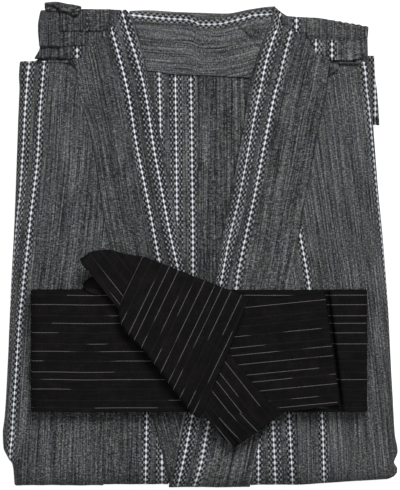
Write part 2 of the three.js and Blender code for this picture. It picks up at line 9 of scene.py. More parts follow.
import bpy
import numpy as np
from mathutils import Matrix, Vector


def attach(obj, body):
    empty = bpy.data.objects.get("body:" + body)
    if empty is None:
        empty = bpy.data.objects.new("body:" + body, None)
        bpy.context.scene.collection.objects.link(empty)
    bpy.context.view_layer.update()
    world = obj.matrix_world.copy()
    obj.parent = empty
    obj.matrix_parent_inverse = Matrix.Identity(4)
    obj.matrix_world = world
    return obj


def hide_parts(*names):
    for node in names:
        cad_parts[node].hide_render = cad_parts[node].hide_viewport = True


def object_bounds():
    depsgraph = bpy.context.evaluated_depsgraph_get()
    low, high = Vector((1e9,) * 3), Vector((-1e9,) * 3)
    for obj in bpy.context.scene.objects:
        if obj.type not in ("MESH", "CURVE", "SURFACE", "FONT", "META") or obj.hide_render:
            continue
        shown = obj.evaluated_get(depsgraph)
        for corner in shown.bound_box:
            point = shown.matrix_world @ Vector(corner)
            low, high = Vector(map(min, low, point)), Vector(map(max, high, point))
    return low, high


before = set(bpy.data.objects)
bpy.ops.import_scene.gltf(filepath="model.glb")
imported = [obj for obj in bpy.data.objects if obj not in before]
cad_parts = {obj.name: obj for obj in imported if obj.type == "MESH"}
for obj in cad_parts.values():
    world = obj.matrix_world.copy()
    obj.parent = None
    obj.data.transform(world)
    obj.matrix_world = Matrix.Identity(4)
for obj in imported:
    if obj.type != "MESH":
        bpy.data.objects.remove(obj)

cad_low, cad_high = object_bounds()

# ---- driving sizes

MM = 0.001
CLOTH = 1.5  # one panel with its seam allowances
COLLAR = 1.9
BELT = 1.3
GAP = 0.3  # clearance to what a piece lies on
CLOSEST = GAP / 3  # and to anything that sticks up from it
CORE_TOP = 22.5  # top of the hidden layers near the packet's edge
ROW_STEP = 1.8  # mesh step along the grain
COLUMN_STEP = 1.05  # and across it, fine enough for the ribs
SEAM_BACK = -1.8
SLEEVE_SEAM = -111.8

HALF_WIDTH = cad_high.x / MM
HALF_LENGTH = cad_high.y / MM

# ---- curves and noise

TINY = 1e-9
LATTICE = 64  # after so many steps the noise repeats


def eased(share):
    """A soft step from 0 to 1."""
    share = np.clip(share, 0, 1)
    return share * share * (3 - 2 * share)


def rounded(edge, soft):
    """How full a rounded edge is, at a distance in from it."""
    return np.sqrt(1 - (1 - np.clip(edge / soft, 0, 1)) ** 2)


def curve_at(knots, values, at):
    """A smooth curve through points, with no overshoot, that goes straight on past its ends."""
    knots, values = np.asarray(knots, float), np.asarray(values, float)
    if knots[0] > knots[-1]:
        knots, values = knots[::-1], values[::-1]
    gaps = np.diff(knots)
    slopes = np.diff(values) / gaps
    tangents = np.concatenate([slopes[:1], np.zeros(len(knots) - 2), slopes[-1:]])
    turns_back = slopes[:-1] * slopes[1:] <= 0
    total = np.where(turns_back, 1.0, slopes[:-1] + slopes[1:])
    tangents[1:-1] = np.where(turns_back, 0, 2 * slopes[:-1] * slopes[1:] / total)
    k = np.clip(np.searchsorted(knots, at, side="right") - 1, 0, len(gaps) - 1)
    gap = gaps[k]
    beyond = (at - knots[k]) / gap
    t = np.clip(beyond, 0, 1)
    rise = eased(t)
    value = values[k] * (1 - rise) + values[k + 1] * rise
    value = value + gap * tangents[k] * t * (1 - t) ** 2 - gap * tangents[k + 1] * t * t * (1 - t)
    return value + (beyond - t) * gap * np.where(beyond < 0, tangents[k], tangents[k + 1])


def noise(u, v, seed):
    """Smooth random values from -1 to 1, one step of u and v apart."""
    lattice = np.random.default_rng(seed).uniform(-1, 1, (LATTICE, LATTICE))
    iu, iv = np.floor(u).astype(int), np.floor(v).astype(int)
    fu, fv = eased(u - iu), eased(v - iv)
    corner = lambda du, dv: lattice[(iu + du) % LATTICE, (iv + dv) % LATTICE]
    low = corner(0, 0) * (1 - fu) + corner(1, 0) * fu
    high = corner(0, 1) * (1 - fu) + corner(1, 1) * fu
    return low * (1 - fv) + high * fv


# ---- height maps

CELL = 1.0
MAP_MARGIN = 14
BRIDGE = 3  # cells over which cloth bridges the edge of what is under it
MAP_X0 = -HALF_WIDTH - MAP_MARGIN
MAP_Y0 = -HALF_LENGTH - MAP_MARGIN
MAP_SHAPE = (int(2 * (HALF_LENGTH + MAP_MARGIN) / CELL) + 1, int(2 * (HALF_WIDTH + MAP_MARGIN) / CELL) + 1)
FINER = 3  # points written to a map for each step of a mesh
height_maps = {}


def between(field, row, column):
    """Values of a grid at places between its points."""
    i, j = np.minimum(row.astype(int), field.shape[0] - 2), np.minimum(column.astype(int), field.shape[1] - 2)
    fi, fj = row - i, column - j
    low = field[i, j] * (1 - fj) + field[i, j + 1] * fj
    high = field[i + 1, j] * (1 - fj) + field[i + 1, j + 1] * fj
    return low * (1 - fi) + high * fi


def remember(name, top):
    """Keeps the heights of a finished piece's upper face."""
    places = [np.linspace(0, count - 1, (count - 1) * FINER + 1) for count in top.shape[:2]]
    row, column = np.meshgrid(*places, indexing="ij")
    x, y, z = (between(top[..., axis], row, column).ravel() for axis in range(3))
    cell_y = np.clip(((y - MAP_Y0) / CELL).astype(int), 0, MAP_SHAPE[0] - 1)
    cell_x = np.clip(((x - MAP_X0) / CELL).astype(int), 0, MAP_SHAPE[1] - 1)
    heights = np.zeros(MAP_SHAPE)
    np.maximum.at(heights, (cell_y, cell_x), z)
    height_maps[name] = heights


def spread(field, reach, pick):
    """A map in which each cell holds the highest or the mean, say, of the cells round it."""
    for axis in (0, 1):
        field = pick([np.roll(field, shift, axis) for shift in range(-reach, reach + 1)], axis=0)
    return field


def support_of(names):
    """Heights of the named pieces: (tight, and bridged so that cloth passes softly over edges)."""
    raw = np.max([height_maps[name] for name in names], axis=0)
    tight = spread(raw, 1, np.max)
    bridged = spread(spread(spread(raw, BRIDGE, np.max), 1, np.mean), BRIDGE - 1, np.mean)
    return tight, bridged


def sample(field, x, y):
    """The heights of a map at places on the packet."""
    row = np.clip((y - MAP_Y0) / CELL - 0.5, 0, MAP_SHAPE[0] - 1.001)
    column = np.clip((x - MAP_X0) / CELL - 0.5, 0, MAP_SHAPE[1] - 1.001)
    return between(field, row, column)


# ---- edges

ARC_STEPS = 12
ROUND_STEPS = 5
FILLED = 0.96  # how much of a narrow piece its turned edges may fill
LEFT_FLAT = 0.5  # and what stays flat between two of them
LEAST_REACH = 0.05  # how much is always left of what runs back


class Turn:
    """An edge that folds under: how far in it starts, how deep it goes, how far it runs back, and
    the share of its depth at which it stands out furthest."""

    def __init__(self, radius, depth, reach, nose=0.5):
        self.radius, self.depth, self.reach, self.nose = radius, depth, reach, nose


def edge_stations(turn, soft, step):
    """Stations from a piece's free edge inwards, as arrays: distance in from the outline in plan,
    share of the turn's depth, unrolled distance in from the outline, and distance to the edge."""
    tip = soft * (1 - np.cos(np.linspace(0, math.pi / 2, ROUND_STEPS + 1)))
    if turn is None:
        return tip, np.zeros_like(tip), tip, tip
    back = np.concatenate([tip, np.arange(soft + step, turn.reach, step)])
    angle = np.linspace(math.pi, 0, ARC_STEPS + 1)
    half_depth = turn.depth / 2
    slope = np.hypot(turn.radius * np.cos(angle), half_depth * np.sin(angle))
    steps = (slope[1:] + slope[:-1]) / 2 * (math.pi / ARC_STEPS)
    arc = np.concatenate([[0], np.cumsum(steps)])
    inward = np.concatenate([turn.radius + turn.reach - back, turn.radius * (1 - np.sin(angle))])
    cosine = np.cos(angle)
    drop = np.where(cosine > 0, turn.nose * (1 - cosine), turn.nose - (1 - turn.nose) * cosine)
    fall = np.concatenate([np.ones_like(back), drop])
    edge = np.concatenate([back, turn.reach + arc])
    unrolled = turn.radius - (turn.reach + arc[-1] - edge)
    return inward, fall, unrolled, edge


def within(inward, room, length):
    """Distances in from an edge, with what runs back under the piece shortened to fit in it."""
    flat = inward[-1]
    reach = max(inward[0] - flat, TINY)
    shorter = np.clip((length * FILLED - flat * room) / reach, LEAST_REACH, 1)
    return np.where(inward > flat, flat * room + (inward - flat) * shorter, inward * room)


def line_of_stations(length, first, last, soft, step, count=None):
    """Stations along a line of the given length (a number, or one for each row)."""
    length = np.atleast_1d(np.asarray(length, float))[:, None]
    start, end = edge_stations(first, soft, step), edge_stations(last, soft, step)
    room = np.minimum(1, length / (start[0][-1] + end[0][-1] + LEFT_FLAT))
    begin, finish = start[0][-1] * room, length - end[0][-1] * room
    inward_start, inward_end = within(start[0], room, length), within(end[0], room, length)
    if count is None:
        count = max(2, int(np.ceil(float((finish - begin).max()) / step)))
    middle = begin + (finish - begin) * np.linspace(0, 1, count + 1)[None, 1:-1]
    blank = np.zeros_like(middle)
    far = np.full_like(middle, np.inf)
    ones = np.ones_like(length)
    at = np.concatenate([inward_start, middle, length - inward_end[:, ::-1]], axis=1)
    fall = np.concatenate([start[1] * ones, blank, end[1][::-1] * ones], axis=1)
    unrolled = np.concatenate([start[2] * room, middle, length - end[2][::-1] * room], axis=1)
    edge = np.concatenate([start[3] * ones, far, end[3][::-1] * ones], axis=1)
    flat = (len(start[0]) - 1, at.shape[1] - len(end[0]))
    return {"at": at, "fall": fall, "unrolled": unrolled, "edge": edge, "flat": flat}


# ---- plan of a piece


def sections(rows):
    """Sections as an array of ax, ay, bx, by, az, bz. Rows of three are y, left, right."""
    made = []
    for row in rows:
        if len(row) == 3:
            y, left, right = row
            row = (left, y, right, y)
        made.append(tuple(row) + (0,) * (6 - len(row)))
    return np.array(made, float)


def plan_of(rows, turns, blends, soft, row_step, column_step):
    """A piece's grid in plan: places, unrolled places, falls, and how full its thickness is. Blends
    gives how far in from an edge the cloth thins out, where it passes into its neighbour."""
    table = sections(rows)
    middles = (table[:, :2] + table[:, 2:4]) / 2
    lengths = np.concatenate([[0], np.cumsum(np.hypot(*np.diff(middles, axis=0).T))])
    along = line_of_stations(lengths[-1], turns.get("first"), turns.get("last"), soft, row_step)
    along = {key: value[0] if key != "flat" else value for key, value in along.items()}
    section_at = lambda at: np.stack([curve_at(lengths, column, at) for column in table.T])[..., None]
    ax, ay, bx, by, az, bz = section_at(along["at"])
    width = np.hypot(bx - ax, by - ay)
    across = line_of_stations(width[:, 0], turns.get("a"), turns.get("b"), soft, column_step)
    share = across["at"] / width
    width_share = np.clip(share, 0, 1)
    x, y, z = ax + (bx - ax) * share, ay + (by - ay) * share, az + (bz - az) * width_share
    ax, ay, bx, by, _, _ = section_at(along["unrolled"])
    share = across["unrolled"] / width
    length_share = (along["at"] / lengths[-1])[:, None]
    length_fall = along["fall"][:, None]
    fall = np.zeros_like(x)
    for key, half, falls in (
        ("a", share < 0.5, across["fall"]), ("b", share >= 0.5, across["fall"]),
        ("first", length_share < 0.5, length_fall), ("last", length_share >= 0.5, length_fall),
    ):
        if key in turns:
            fall = np.maximum(fall, np.where(half, falls, 0) * turns[key].depth)
    full = np.minimum(rounded(across["edge"], soft), rounded(along["edge"], soft)[:, None])
    from_edge = {"a": width_share * width, "b": (1 - width_share) * width}
    for key, reach in blends.items():
        full = full * eased(from_edge[key] / reach)
    return {
        "x": x, "y": y, "z": z, "ux": ax + (bx - ax) * share, "uy": ay + (by - ay) * share,
        "fall": fall, "full": full, "rows": along["flat"], "columns": across["flat"],
    }


# ---- grain

PLAIN = 200  # a cloth coordinate far from every stripe
LONE = -86.6  # where a stripe by itself lies in the cloth
WIDE, NARROW = 0.0, 12.6  # and the bolt's three stripes, narrow, wide and narrow
CLOSEST_GUIDES = 0.5


def grain(guides, along_x=False):
    """The cloth's own coordinates (across, along), from lines that run with its grain. Each guide
    is a coordinate across the cloth and the points of its line."""

    def coordinates(x, y):
        across, along = (y, x) if along_x else (x, y)
        place = lambda point: point[::-1] if along_x else point
        lines = []
        for value, points in guides:
            at = np.array(sorted((place(p) for p in points), key=lambda p: p[1]), float)
            line = np.full_like(along, at[0, 0]) if len(at) == 1 else curve_at(at[:, 1], at[:, 0], along)
            lines.append((value, line))
        way = 1.0 if len(lines) == 1 else math.copysign(1, lines[-1][0] - lines[0][0])
        found = lines[0][0] + (across - lines[0][1]) * way
        for (value, line), (next_value, next_line) in zip(lines, lines[1:]):
            share = (across - line) / np.maximum(next_line - line, CLOSEST_GUIDES)
            found = np.where(share > 0, value + share * (next_value - value), found)
        return np.where(across > lines[-1][1], lines[-1][0] + (across - lines[-1][1]) * way, found), along

    return coordinates


def upright(value, x):
    """Grain along y, from one place and the coordinate across the cloth that it has there."""
    return grain([(value, [(x, 0)])])


def straight(origin, direction, offset=0.0):
    """Grain along a straight direction through a point, for belts and small pieces."""
    dx, dy = np.array(direction, float) / math.hypot(*direction)

    def coordinates(x, y):
        px, py = x - origin[0], y - origin[1]
        return px * dy - py * dx + offset, px * dx + py * dy

    return coordinates


# ---- relief

CREASE_END = 0.02  # the share of a crease's length, at each end, over which it fades no further


def crease_relief(creases, x, y):
    """Soft troughs and ridges. Each crease is its height, its half width and its points."""
    total = np.zeros_like(x)
    for height, width, *points in creases:
        lengths = [math.dist(a, b) for a, b in zip(points, points[1:])]
        nearest, share, start = np.full_like(x, np.inf), np.zeros_like(x), 0.0
        for (ax, ay), (bx, by), length in zip(points, points[1:], lengths):
            t = ((x - ax) * (bx - ax) + (y - ay) * (by - ay)) / length**2
            clipped = np.clip(t, 0, 1)
            away = np.hypot(x - ax - (bx - ax) * clipped, y - ay - (by - ay) * clipped)
            share = np.where(away < nearest, (start + clipped * length) / sum(lengths), share)
            nearest = np.minimum(away, nearest)
            start += length
        fade = np.sin(math.pi * np.clip(share, CREASE_END, 1 - CREASE_END)) ** 0.5
        total += height * fade * np.exp(-((nearest / width) ** 2))
    return total


# How large each kind of unevenness is across and along the grain.
RIB, PUCKER, WAVE, SMALL_WAVE, PATCH = (2.5, 55), (3.1, 6.5), (17, 85), (9, 60), (31, 47)


def cloth_relief(across, along, ribs, waves, seed):
    """Puckered ribs along the grain and long soft waves, uneven in depth."""
    uneven = lambda size, number: noise(across / size[0], along / size[1], seed + number)
    rib = uneven(RIB, 2) * (0.6 + 0.4 * uneven(PATCH, 1))
    wave = uneven(WAVE, 3) + 0.5 * uneven(SMALL_WAVE, 4)
    return ribs * (rib + 0.35 * uneven(PUCKER, 5)) + waves * wave


# ---- shells

CREVICE = 1.8  # a trough deeper than this closes on itself
CREVICE_SHADE = 0.6  # and is this much darker for each millimetre more
SOFT_EDGE = 0.4  # how far in an edge is rounded, for each millimetre of thickness
TURNED_RELIEF = 0.5  # how much of the relief shows on an edge that is turned under
LEAST_SHARE = 0.31  # of width times length, that a piece of cloth covers


def grid_normals(grid):
    """The normals of a grid of points, on its upper side."""
    down, over = np.gradient(grid, axis=0), np.gradient(grid, axis=1)
    normals = np.cross(over, down)
    size = np.linalg.norm(normals, axis=2, keepdims=True)
    normals = normals / np.maximum(size, TINY)
    flip = np.sign(np.median(normals[..., 2]))
    return normals * (flip if flip else 1)


def shell_faces(rows, columns):
    """Quads of a closed shell: those of its upper grid, and of a lower one that shares its rim."""
    upper = np.arange(rows * columns).reshape(rows, columns)
    lower = upper.copy()
    lower[1:-1, 1:-1] = rows * columns + np.arange((rows - 2) * (columns - 2)).reshape(rows - 2, columns - 2)
    quads = lambda g: np.stack([g[:-1, :-1], g[1:, :-1], g[1:, 1:], g[:-1, 1:]], axis=-1).reshape(-1, 4)
    return quads(upper), quads(lower)[:, ::-1]


def make_mesh(name, points, quads, weave, fade):
    """An object of quads, with its cloth coordinates and its tone on every point."""
    mesh = bpy.data.meshes.new(name)
    mesh.vertices.add(len(points))
    mesh.vertices.foreach_set("co", (points * MM).astype(np.float32).ravel())
    mesh.loops.add(quads.size)
    mesh.loops.foreach_set("vertex_index", quads.astype(np.int32).ravel())
    mesh.polygons.add(len(quads))
    mesh.polygons.foreach_set("loop_start", np.arange(0, quads.size, 4, dtype=np.int32))
    mesh.polygons.foreach_set("use_smooth", np.ones(len(quads), bool))
    mesh.update(calc_edges=True)
    attribute = mesh.attributes.new("weave", "FLOAT_VECTOR", "POINT")
    attribute.data.foreach_set("vector", weave.astype(np.float32))
    attribute = mesh.attributes.new("fade", "FLOAT", "POINT")
    attribute.data.foreach_set("value", fade.astype(np.float32))
    piece = bpy.data.objects.new(name + "_cloth", mesh)
    bpy.context.scene.collection.objects.link(piece)
    return piece


def shell(name, middle, thick, full, across, along, seed, material, fade=0.0):
    """A closed shell of the given thickness about a middle surface."""
    normals = grid_normals(middle)
    offset = normals * (thick / 2 * full)[..., None]
    top, bottom = middle + offset, middle - offset
    rows, columns = full.shape
    closed = lambda upper, lower: np.concatenate([upper.ravel(), lower[1:-1, 1:-1].ravel()])
    points = closed(top, bottom).reshape(-1, 3)
    weave = np.stack([across, along, np.full_like(across, float(seed))], axis=-1)
    fade = np.broadcast_to(fade, across.shape)
    faces = np.concatenate(shell_faces(rows, columns))
    first = points[faces[:, :3]]
    ups = np.cross(first[:, 1] - first[:, 0], first[:, 2] - first[:, 0])[: (rows - 1) * (columns - 1), 2]
    if np.median(ups) < 0:
        faces = faces[:, ::-1]
    piece = make_mesh(name, points, faces, closed(weave, weave), closed(fade, fade))
    piece.data.materials.append(material)
    remember(name, top)
    return piece


def cloth_piece(
    name, rows, on, weave, thick=CLOTH, turns=None, creases=(), ribs=0.26, waves=0.4, least=CORE_TOP,
    soft=None, steps=(ROW_STEP, COLUMN_STEP), lift=None, seed=1, material=None, held="folded", node=None,
    patch=None, slot="robe_cloth", blends=None, fade=0.0,
):
    """One stretch of cloth: plan, heights, relief and shell, attached to the root body in place of its CAD
    node. It lies on the pieces in on, or at the level least where they are lower, and weave is its grain.
    Lift raises it in places, patch gives a stretch of it another coordinate across the cloth, and fade
    makes its tone lighter or darker."""
    turns = turns or {}
    soft = soft or thick * SOFT_EDGE
    plan = plan_of(rows, turns, blends or {}, soft, *steps)
    x, y, full = plan["x"], plan["y"], plan["full"]
    tight, bridged = support_of(on) if on else (np.zeros(MAP_SHAPE), np.zeros(MAP_SHAPE))
    across, along = weave(plan["ux"], plan["uy"])
    if patch:
        across = patch(plan["ux"], plan["uy"], across)
    pressed = crease_relief(creases, plan["ux"], plan["uy"])
    # Painted shade: where a crease's trough is deeper than CREVICE, the cloth's tone is painted darker, as
    # the shade inside it.
    fade = fade - CREVICE_SHADE * np.clip(-pressed - CREVICE, 0, None)
    relief = cloth_relief(across, along, ribs, waves, 10 * seed) + pressed
    if lift:
        relief = relief + lift(x, y)
    base = np.maximum(sample(bridged, x, y), least + plan["z"])
    height = base + relief + (GAP + thick / 2) * full
    height = np.maximum(height, sample(tight, x, y) + CLOSEST + thick / 2 * full)
    (first_row, last_row), (first_column, last_column) = plan["rows"], plan["columns"]
    i = np.clip(np.arange(x.shape[0]), first_row, last_row)
    j = np.clip(np.arange(x.shape[1]), first_column, last_column)
    height = height[np.ix_(i, j)] - plan["fall"]
    middle = np.stack([x, y, height], axis=-1)
    turned = (i != np.arange(x.shape[0]))[:, None] | (j != np.arange(x.shape[1]))[None]
    if turned.any():
        middle = middle + grid_normals(middle) * (turned * relief * full)[..., None] * TURNED_RELIEF
    piece = shell(name, middle, thick, full, across, along, seed, material, fade)
    declare(piece, node or name, on, middle)
    return piece


def declare(piece, node, on, middle):
    """Attaches a finished piece to the root body, hides its CAD node, and works out the size of the cut
    that it is made from, which is as large as its middle surface is when it is unrolled."""
    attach(piece, "root")
    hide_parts(node)
    width = np.linalg.norm(np.diff(middle, axis=1), axis=2).sum(axis=1).max() * MM
    length = np.linalg.norm(np.diff(middle, axis=0), axis=2).sum(axis=0).max() * MM
    one, other = middle[1:, 1:] - middle[:-1, :-1], middle[:-1, 1:] - middle[1:, :-1]
    area = np.linalg.norm(np.cross(one, other), axis=2).sum() / 2 * MM * MM
    area = min(max(area, LEAST_SHARE * width * length), width * length)
    rests_on = [name + "_cloth" for name in on]


# ---- materials


def operation(kind):
    return lambda self, *others: self.finish.math(kind, self, *others)


class Value:
    """A number worked out for each point of a surface, by a chain of shader nodes."""

    __add__, __sub__, __mul__ = operation("ADD"), operation("SUBTRACT"), operation("MULTIPLY")
    __truediv__, __pow__, __mod__ = operation("DIVIDE"), operation("POWER"), operation("MODULO")
    __abs__, rounded, part = operation("ABSOLUTE"), operation("ROUND"), operation("FRACT")
    root, least, most = operation("SQRT"), operation("MINIMUM"), operation("MAXIMUM")

    def __init__(self, finish, socket):
        self.finish, self.socket = finish, socket

    def __rsub__(self, other):
        return self.finish.math("SUBTRACT", other, self)

    def under(self, edge, soft):
        """1 below the edge and 0 above it, with a soft step between."""
        return self.finish.step(self, edge - soft, edge + soft, 1.0, 0.0)

    def over(self, edge, soft):
        return self.finish.step(self, edge - soft, edge + soft, 0.0, 1.0)


SEEDS_APART = 3.7


class Finish:
    """A procedural material on the cloth's own coordinates: across and along its grain, in mm."""

    def __init__(self, name):
        self.material = bpy.data.materials.new(name)
        self.material.use_nodes = True
        self.tree = self.material.node_tree
        self.shader = self.tree.nodes["Principled BSDF"]
        weave, fade = (self.tree.nodes.new("ShaderNodeAttribute") for _ in range(2))
        weave.attribute_name, fade.attribute_name = "weave", "fade"
        split = self.tree.nodes.new("ShaderNodeSeparateXYZ")
        self.tree.links.new(weave.outputs["Vector"], split.inputs[0])
        self.across, self.along, self.seed = (Value(self, out) for out in split.outputs)
        self.fade = Value(self, fade.outputs["Fac"])

    def put(self, socket, value):
        if isinstance(value, Value):
            self.tree.links.new(value.socket, socket)
        elif isinstance(value, bpy.types.NodeSocket):
            self.tree.links.new(value, socket)
        else:
            socket.default_value = value

    def math(self, operation, *values):
        node = self.tree.nodes.new("ShaderNodeMath")
        node.operation = operation
        for socket, value in zip(node.inputs, values):
            self.put(socket, value)
        return Value(self, node.outputs[0])

    def step(self, value, low, high, to_low, to_high):
        node = self.tree.nodes.new("ShaderNodeMapRange")
        node.interpolation_type = "SMOOTHSTEP"
        for name, given in zip(("Value", "From Min", "From Max", "To Min", "To Max"),
                               (value, low, high, to_low, to_high)):
            self.put(node.inputs[name], given)
        return Value(self, node.outputs[0])

    def noise(self, across, along, shift=0.0, detail=1.0):
        """Smooth random values round 0, about one step of across and along apart. Each shift gives
        other ones, and detail adds finer ones."""
        place = self.tree.nodes.new("ShaderNodeCombineXYZ")
        for socket, value in zip(place.inputs, (across, along, self.seed * SEEDS_APART + shift)):
            self.put(socket, value)
        node = self.tree.nodes.new("ShaderNodeTexNoise")
        node.inputs["Scale"].default_value = 1.0
        node.inputs["Detail"].default_value = detail
        self.tree.links.new(place.outputs[0], node.inputs["Vector"])
        return (Value(self, node.outputs["Fac"]) - 0.5) * 2.0

    def colour(self, share, first, second):
        node = self.tree.nodes.new("ShaderNodeMix")
        node.data_type = "RGBA"
        self.put(node.inputs["Factor"], share)
        for socket, value in zip((node.inputs[6], node.inputs[7]), (first, second)):
            self.put(socket, value if isinstance(value, bpy.types.NodeSocket) else (*value, 1.0))
        return node.outputs[2]

    def bump(self, height, distance):
        node = self.tree.nodes.new("ShaderNodeBump")
        node.inputs["Distance"].default_value = distance * MM
        self.put(node.inputs["Height"], height)
        self.tree.links.new(node.outputs["Normal"], self.shader.inputs["Normal"])

    def cloth(self, colour, look):
        self.tree.links.new(colour, self.shader.inputs["Base Color"])
        for name, value in look.items():
            self.shader.inputs[name].default_value = value
        return self.material


REPEAT = 4.65  # of the woven stripe, along the grain
COLUMN = 1.4  # from one column of dots to the next
COLUMNS = 3.0  # of dots on each side of the wide stripe, and one fewer beside the others
LONE_CLOTH = -50.0  # the stripe by itself lies in the cloth below this coordinate
HALF_THREAD, THREAD_WHITE = 0.3, 0.3  # the white thread that joins the dashes
HALF_DASH, HALF_DASH_WIDTH = 1.95, 0.72
BLACK_DOT, PALE_DOT = (0.62, 0.95), (0.5, 0.75)  # half widths across and along the grain

CHARCOAL_WARM = (0.0385, 0.0395, 0.0385)
CHARCOAL_COOL = (0.0375, 0.0385, 0.0425)
CHARCOAL_DARK = (0.0065, 0.0065, 0.0075)
CHARCOAL_LIGHT = (0.110, 0.114, 0.114)
STRIPE_WHITE = (0.40, 0.41, 0.44)
STRIPE_BLACK = (0.0035, 0.0035, 0.0045)
ROBE_LOOK = {"Roughness": 0.92, "Specular IOR Level": 0.05, "Sheen Weight": 0.02, "Sheen Roughness": 0.5}
BELT_LOOK = {"Roughness": 0.8, "Specular IOR Level": 0.03, "Sheen Weight": 0.0, "Sheen Roughness": 0.5}
ROBE_BUMP, BELT_BUMP = 0.5, 0.22  # height of the threads


def robe_finish():
    """Charcoal ribbed cotton with woven stripes: a row of white dashes, with columns of black and
    pale dots on both sides of it."""
    f = Finish("robe_cotton")
    wobble = f.noise(f.across / 40.0, f.along / 70.0, 5.0) * 0.9
    c, s = f.across, f.along + wobble

    in_lone = c.under(LONE_CLOTH, 0.01)
    middle = (c / NARROW).rounded().most(-1.0).least(1.0)
    reach = COLUMNS - abs(middle)
    centre = middle * NARROW * (1.0 - in_lone) + in_lone * LONE
    off = abs(c - centre)
    column = (off / COLUMN).rounded()
    inside = (column - reach).under(0.5, 0.01) * column.over(0.5, 0.01)

    phase = (s / REPEAT).part()
    from_dash = abs(phase - 0.5) * REPEAT
    fullness = (1.0 - (from_dash / HALF_DASH) ** 2.0).most(0.0)
    dash = (off - fullness * HALF_DASH_WIDTH).under(0.0, 0.2)
    thread = off.under(HALF_THREAD, 0.25) * THREAD_WHITE
    odd = column % 2.0
    dot_phase = (s / REPEAT + odd * 0.5).part()
    beside = abs(off - column * COLUMN)
    from_black = abs(dot_phase - 0.5) * REPEAT
    from_pale = REPEAT / 2 - from_black
    from_dot = lambda along, dot: ((beside / dot[0]) ** 2.0 + (along / dot[1]) ** 2.0).root()
    black = from_dot(from_black, BLACK_DOT).under(1.0, 0.25) * inside
    pale = from_dot(from_pale, PALE_DOT).under(0.95, 0.35) * inside
    pale = pale * (abs(column - 2.0) * 0.18 + 0.2)

    # Ribs, fine threads, weft and the valleys feed both the tone and the bump, so what the bump raises is
    # painted lighter and the valleys darker: painted shade of the relief, over the cloth's own heathered
    # tone.
    ribs = f.noise(c / 1.55, s / 90.0, 41.0, 1.0)
    lines = f.noise(c / 0.8, s / 46.0, 11.0, 2.0)
    fine = f.noise(c / 0.5, s / 1.1, 17.0, 2.0)
    weft = f.noise(c / 2.6, s / 0.6, 23.0, 1.0)
    patches = f.noise(c / 14.0, s / 30.0, 29.0, 2.0)
    heather = f.noise(c / 1.3, s / 2.0, 53.0, 2.0)
    valley = abs(f.noise(c / 2.3, s / 130.0, 61.0, 0.0)).under(0.035, 0.05)
    tone = ribs * 1.0 + lines * 1.5 + fine * 1.8 + heather * 1.2 + weft * 1.7 + patches * 0.4
    # fade adds each piece's tone shift and the painted shade of its deep creases.
    tone = tone - valley * 0.8 + f.fade
    body = f.colour(f.noise(c / 5.0, s / 16.0, 67.0, 2.0).over(0.0, 0.3), CHARCOAL_WARM, CHARCOAL_COOL)
    ground = f.colour(tone.over(-0.35, 0.85), CHARCOAL_DARK, body)
    ground = f.colour(tone.over(0.85, 0.7), ground, CHARCOAL_LIGHT)
    worn = f.noise(c / 1.1, s / 2.3, 37.0, 2.0)
    white = (dash.most(thread).most(pale) * (worn * 0.35 + 0.92)).least(1.0)
    colour = f.colour(black, ground, STRIPE_BLACK)
    colour = f.colour(white, colour, STRIPE_WHITE)
    f.bump(ribs * 1.0 + fine * 0.35 + weft * 0.3 + white * 0.4 - valley * 0.6, ROBE_BUMP)
    return f.cloth(colour, ROBE_LOOK)


PINSTRIPE_REPEAT = 22.4
PINSTRIPES = (0.0, 7.6, 16.4)  # places of the lines in one repeat
PINSTRIPE = 0.17  # half the width of one, and how soft its edge is
BELT_BLACK = (0.0010, 0.0013, 0.0013)
BELT_GREY = (0.0052, 0.0040, 0.0044)
PIN_GREY = (0.088, 0.084, 0.092)


def belt_finish():
    """Near-black stiff cotton with thin pinstripes that come and go."""
    f = Finish("belt_cotton")
    c, s = f.across, f.along
    place = (c / PINSTRIPE_REPEAT).part() * PINSTRIPE_REPEAT
    line = None
    for at in PINSTRIPES:
        off = abs(place - at)
        if at == 0.0:
            off = off.least(abs(place - PINSTRIPE_REPEAT))
        here = off.under(PINSTRIPE, PINSTRIPE)
        line = here if line is None else line.most(here)
    strength = f.noise(c / 5.0, s / 52.0, 3.0, 0.0).over(-0.07, 0.02) * 0.8 + 0.06
    broken = f.noise(c / 2.0, s / 1.1, 7.0, 1.0) * 0.35 + 0.8
    threads = f.noise(c / 0.5, s / 14.0, 11.0, 2.0)
    cross = f.noise(c / 5.0, s / 0.45, 13.0, 1.0)
    mottle = f.noise(c / 9.0, s / 12.0, 19.0, 2.0)
    tone = threads * 0.5 + cross * 0.4 + mottle * 0.4
    ground = f.colour(tone.over(0.1, 0.6), BELT_BLACK, BELT_GREY)
    colour = f.colour((line * strength * broken).least(1.0), ground, PIN_GREY)
    f.bump(cross * 0.6 + threads * 0.4, BELT_BUMP)
    return f.cloth(colour, BELT_LOOK)


ROBE = robe_finish()
OBI = belt_finish()

# ---- hidden layers

CROWN = 1.5  # how much higher the hidden layers stand in the middle
HIDDEN_STEPS = (4.0, 4.0)
HIDDEN_WAVES = 0.12
WAVER, WAVER_LENGTH = 0.9, 37.0  # how unevenly a hidden layer's fold runs
OTHER_SIDE = 500  # so far along it wavers in another way
HIDDEN_THICK = 2.95  # one folded layer, as it lies pressed
FOLD_RADIUS = 8.0  # of a front where it folds round the packet's edge
FOLD_DEPTH = 13.0
FOLD_REACH = 12.0
PACKET_HEAD = (-123, 182, 123, 170.5)
PACKET = [
    (150, -132, 134.5),
    (142, -143.6, 135.6),
    (118, -145.1, 136.9),
    (84, -146.4, 139.4),
    (35, -148, 143.2),
    (-10, -150.4, 147),
    (-58, -152.6, 150.6),
    (-90, -154, 152.2),
    (-127, -155.8, 154.4),
    (-152, -158.1, 156.6),
    (-166, -156.4, 158.2),
    (-176, -151.4, 156.4),
]
PACKET_HEM = (-146.4, -189.6, 150.2, -185.6)
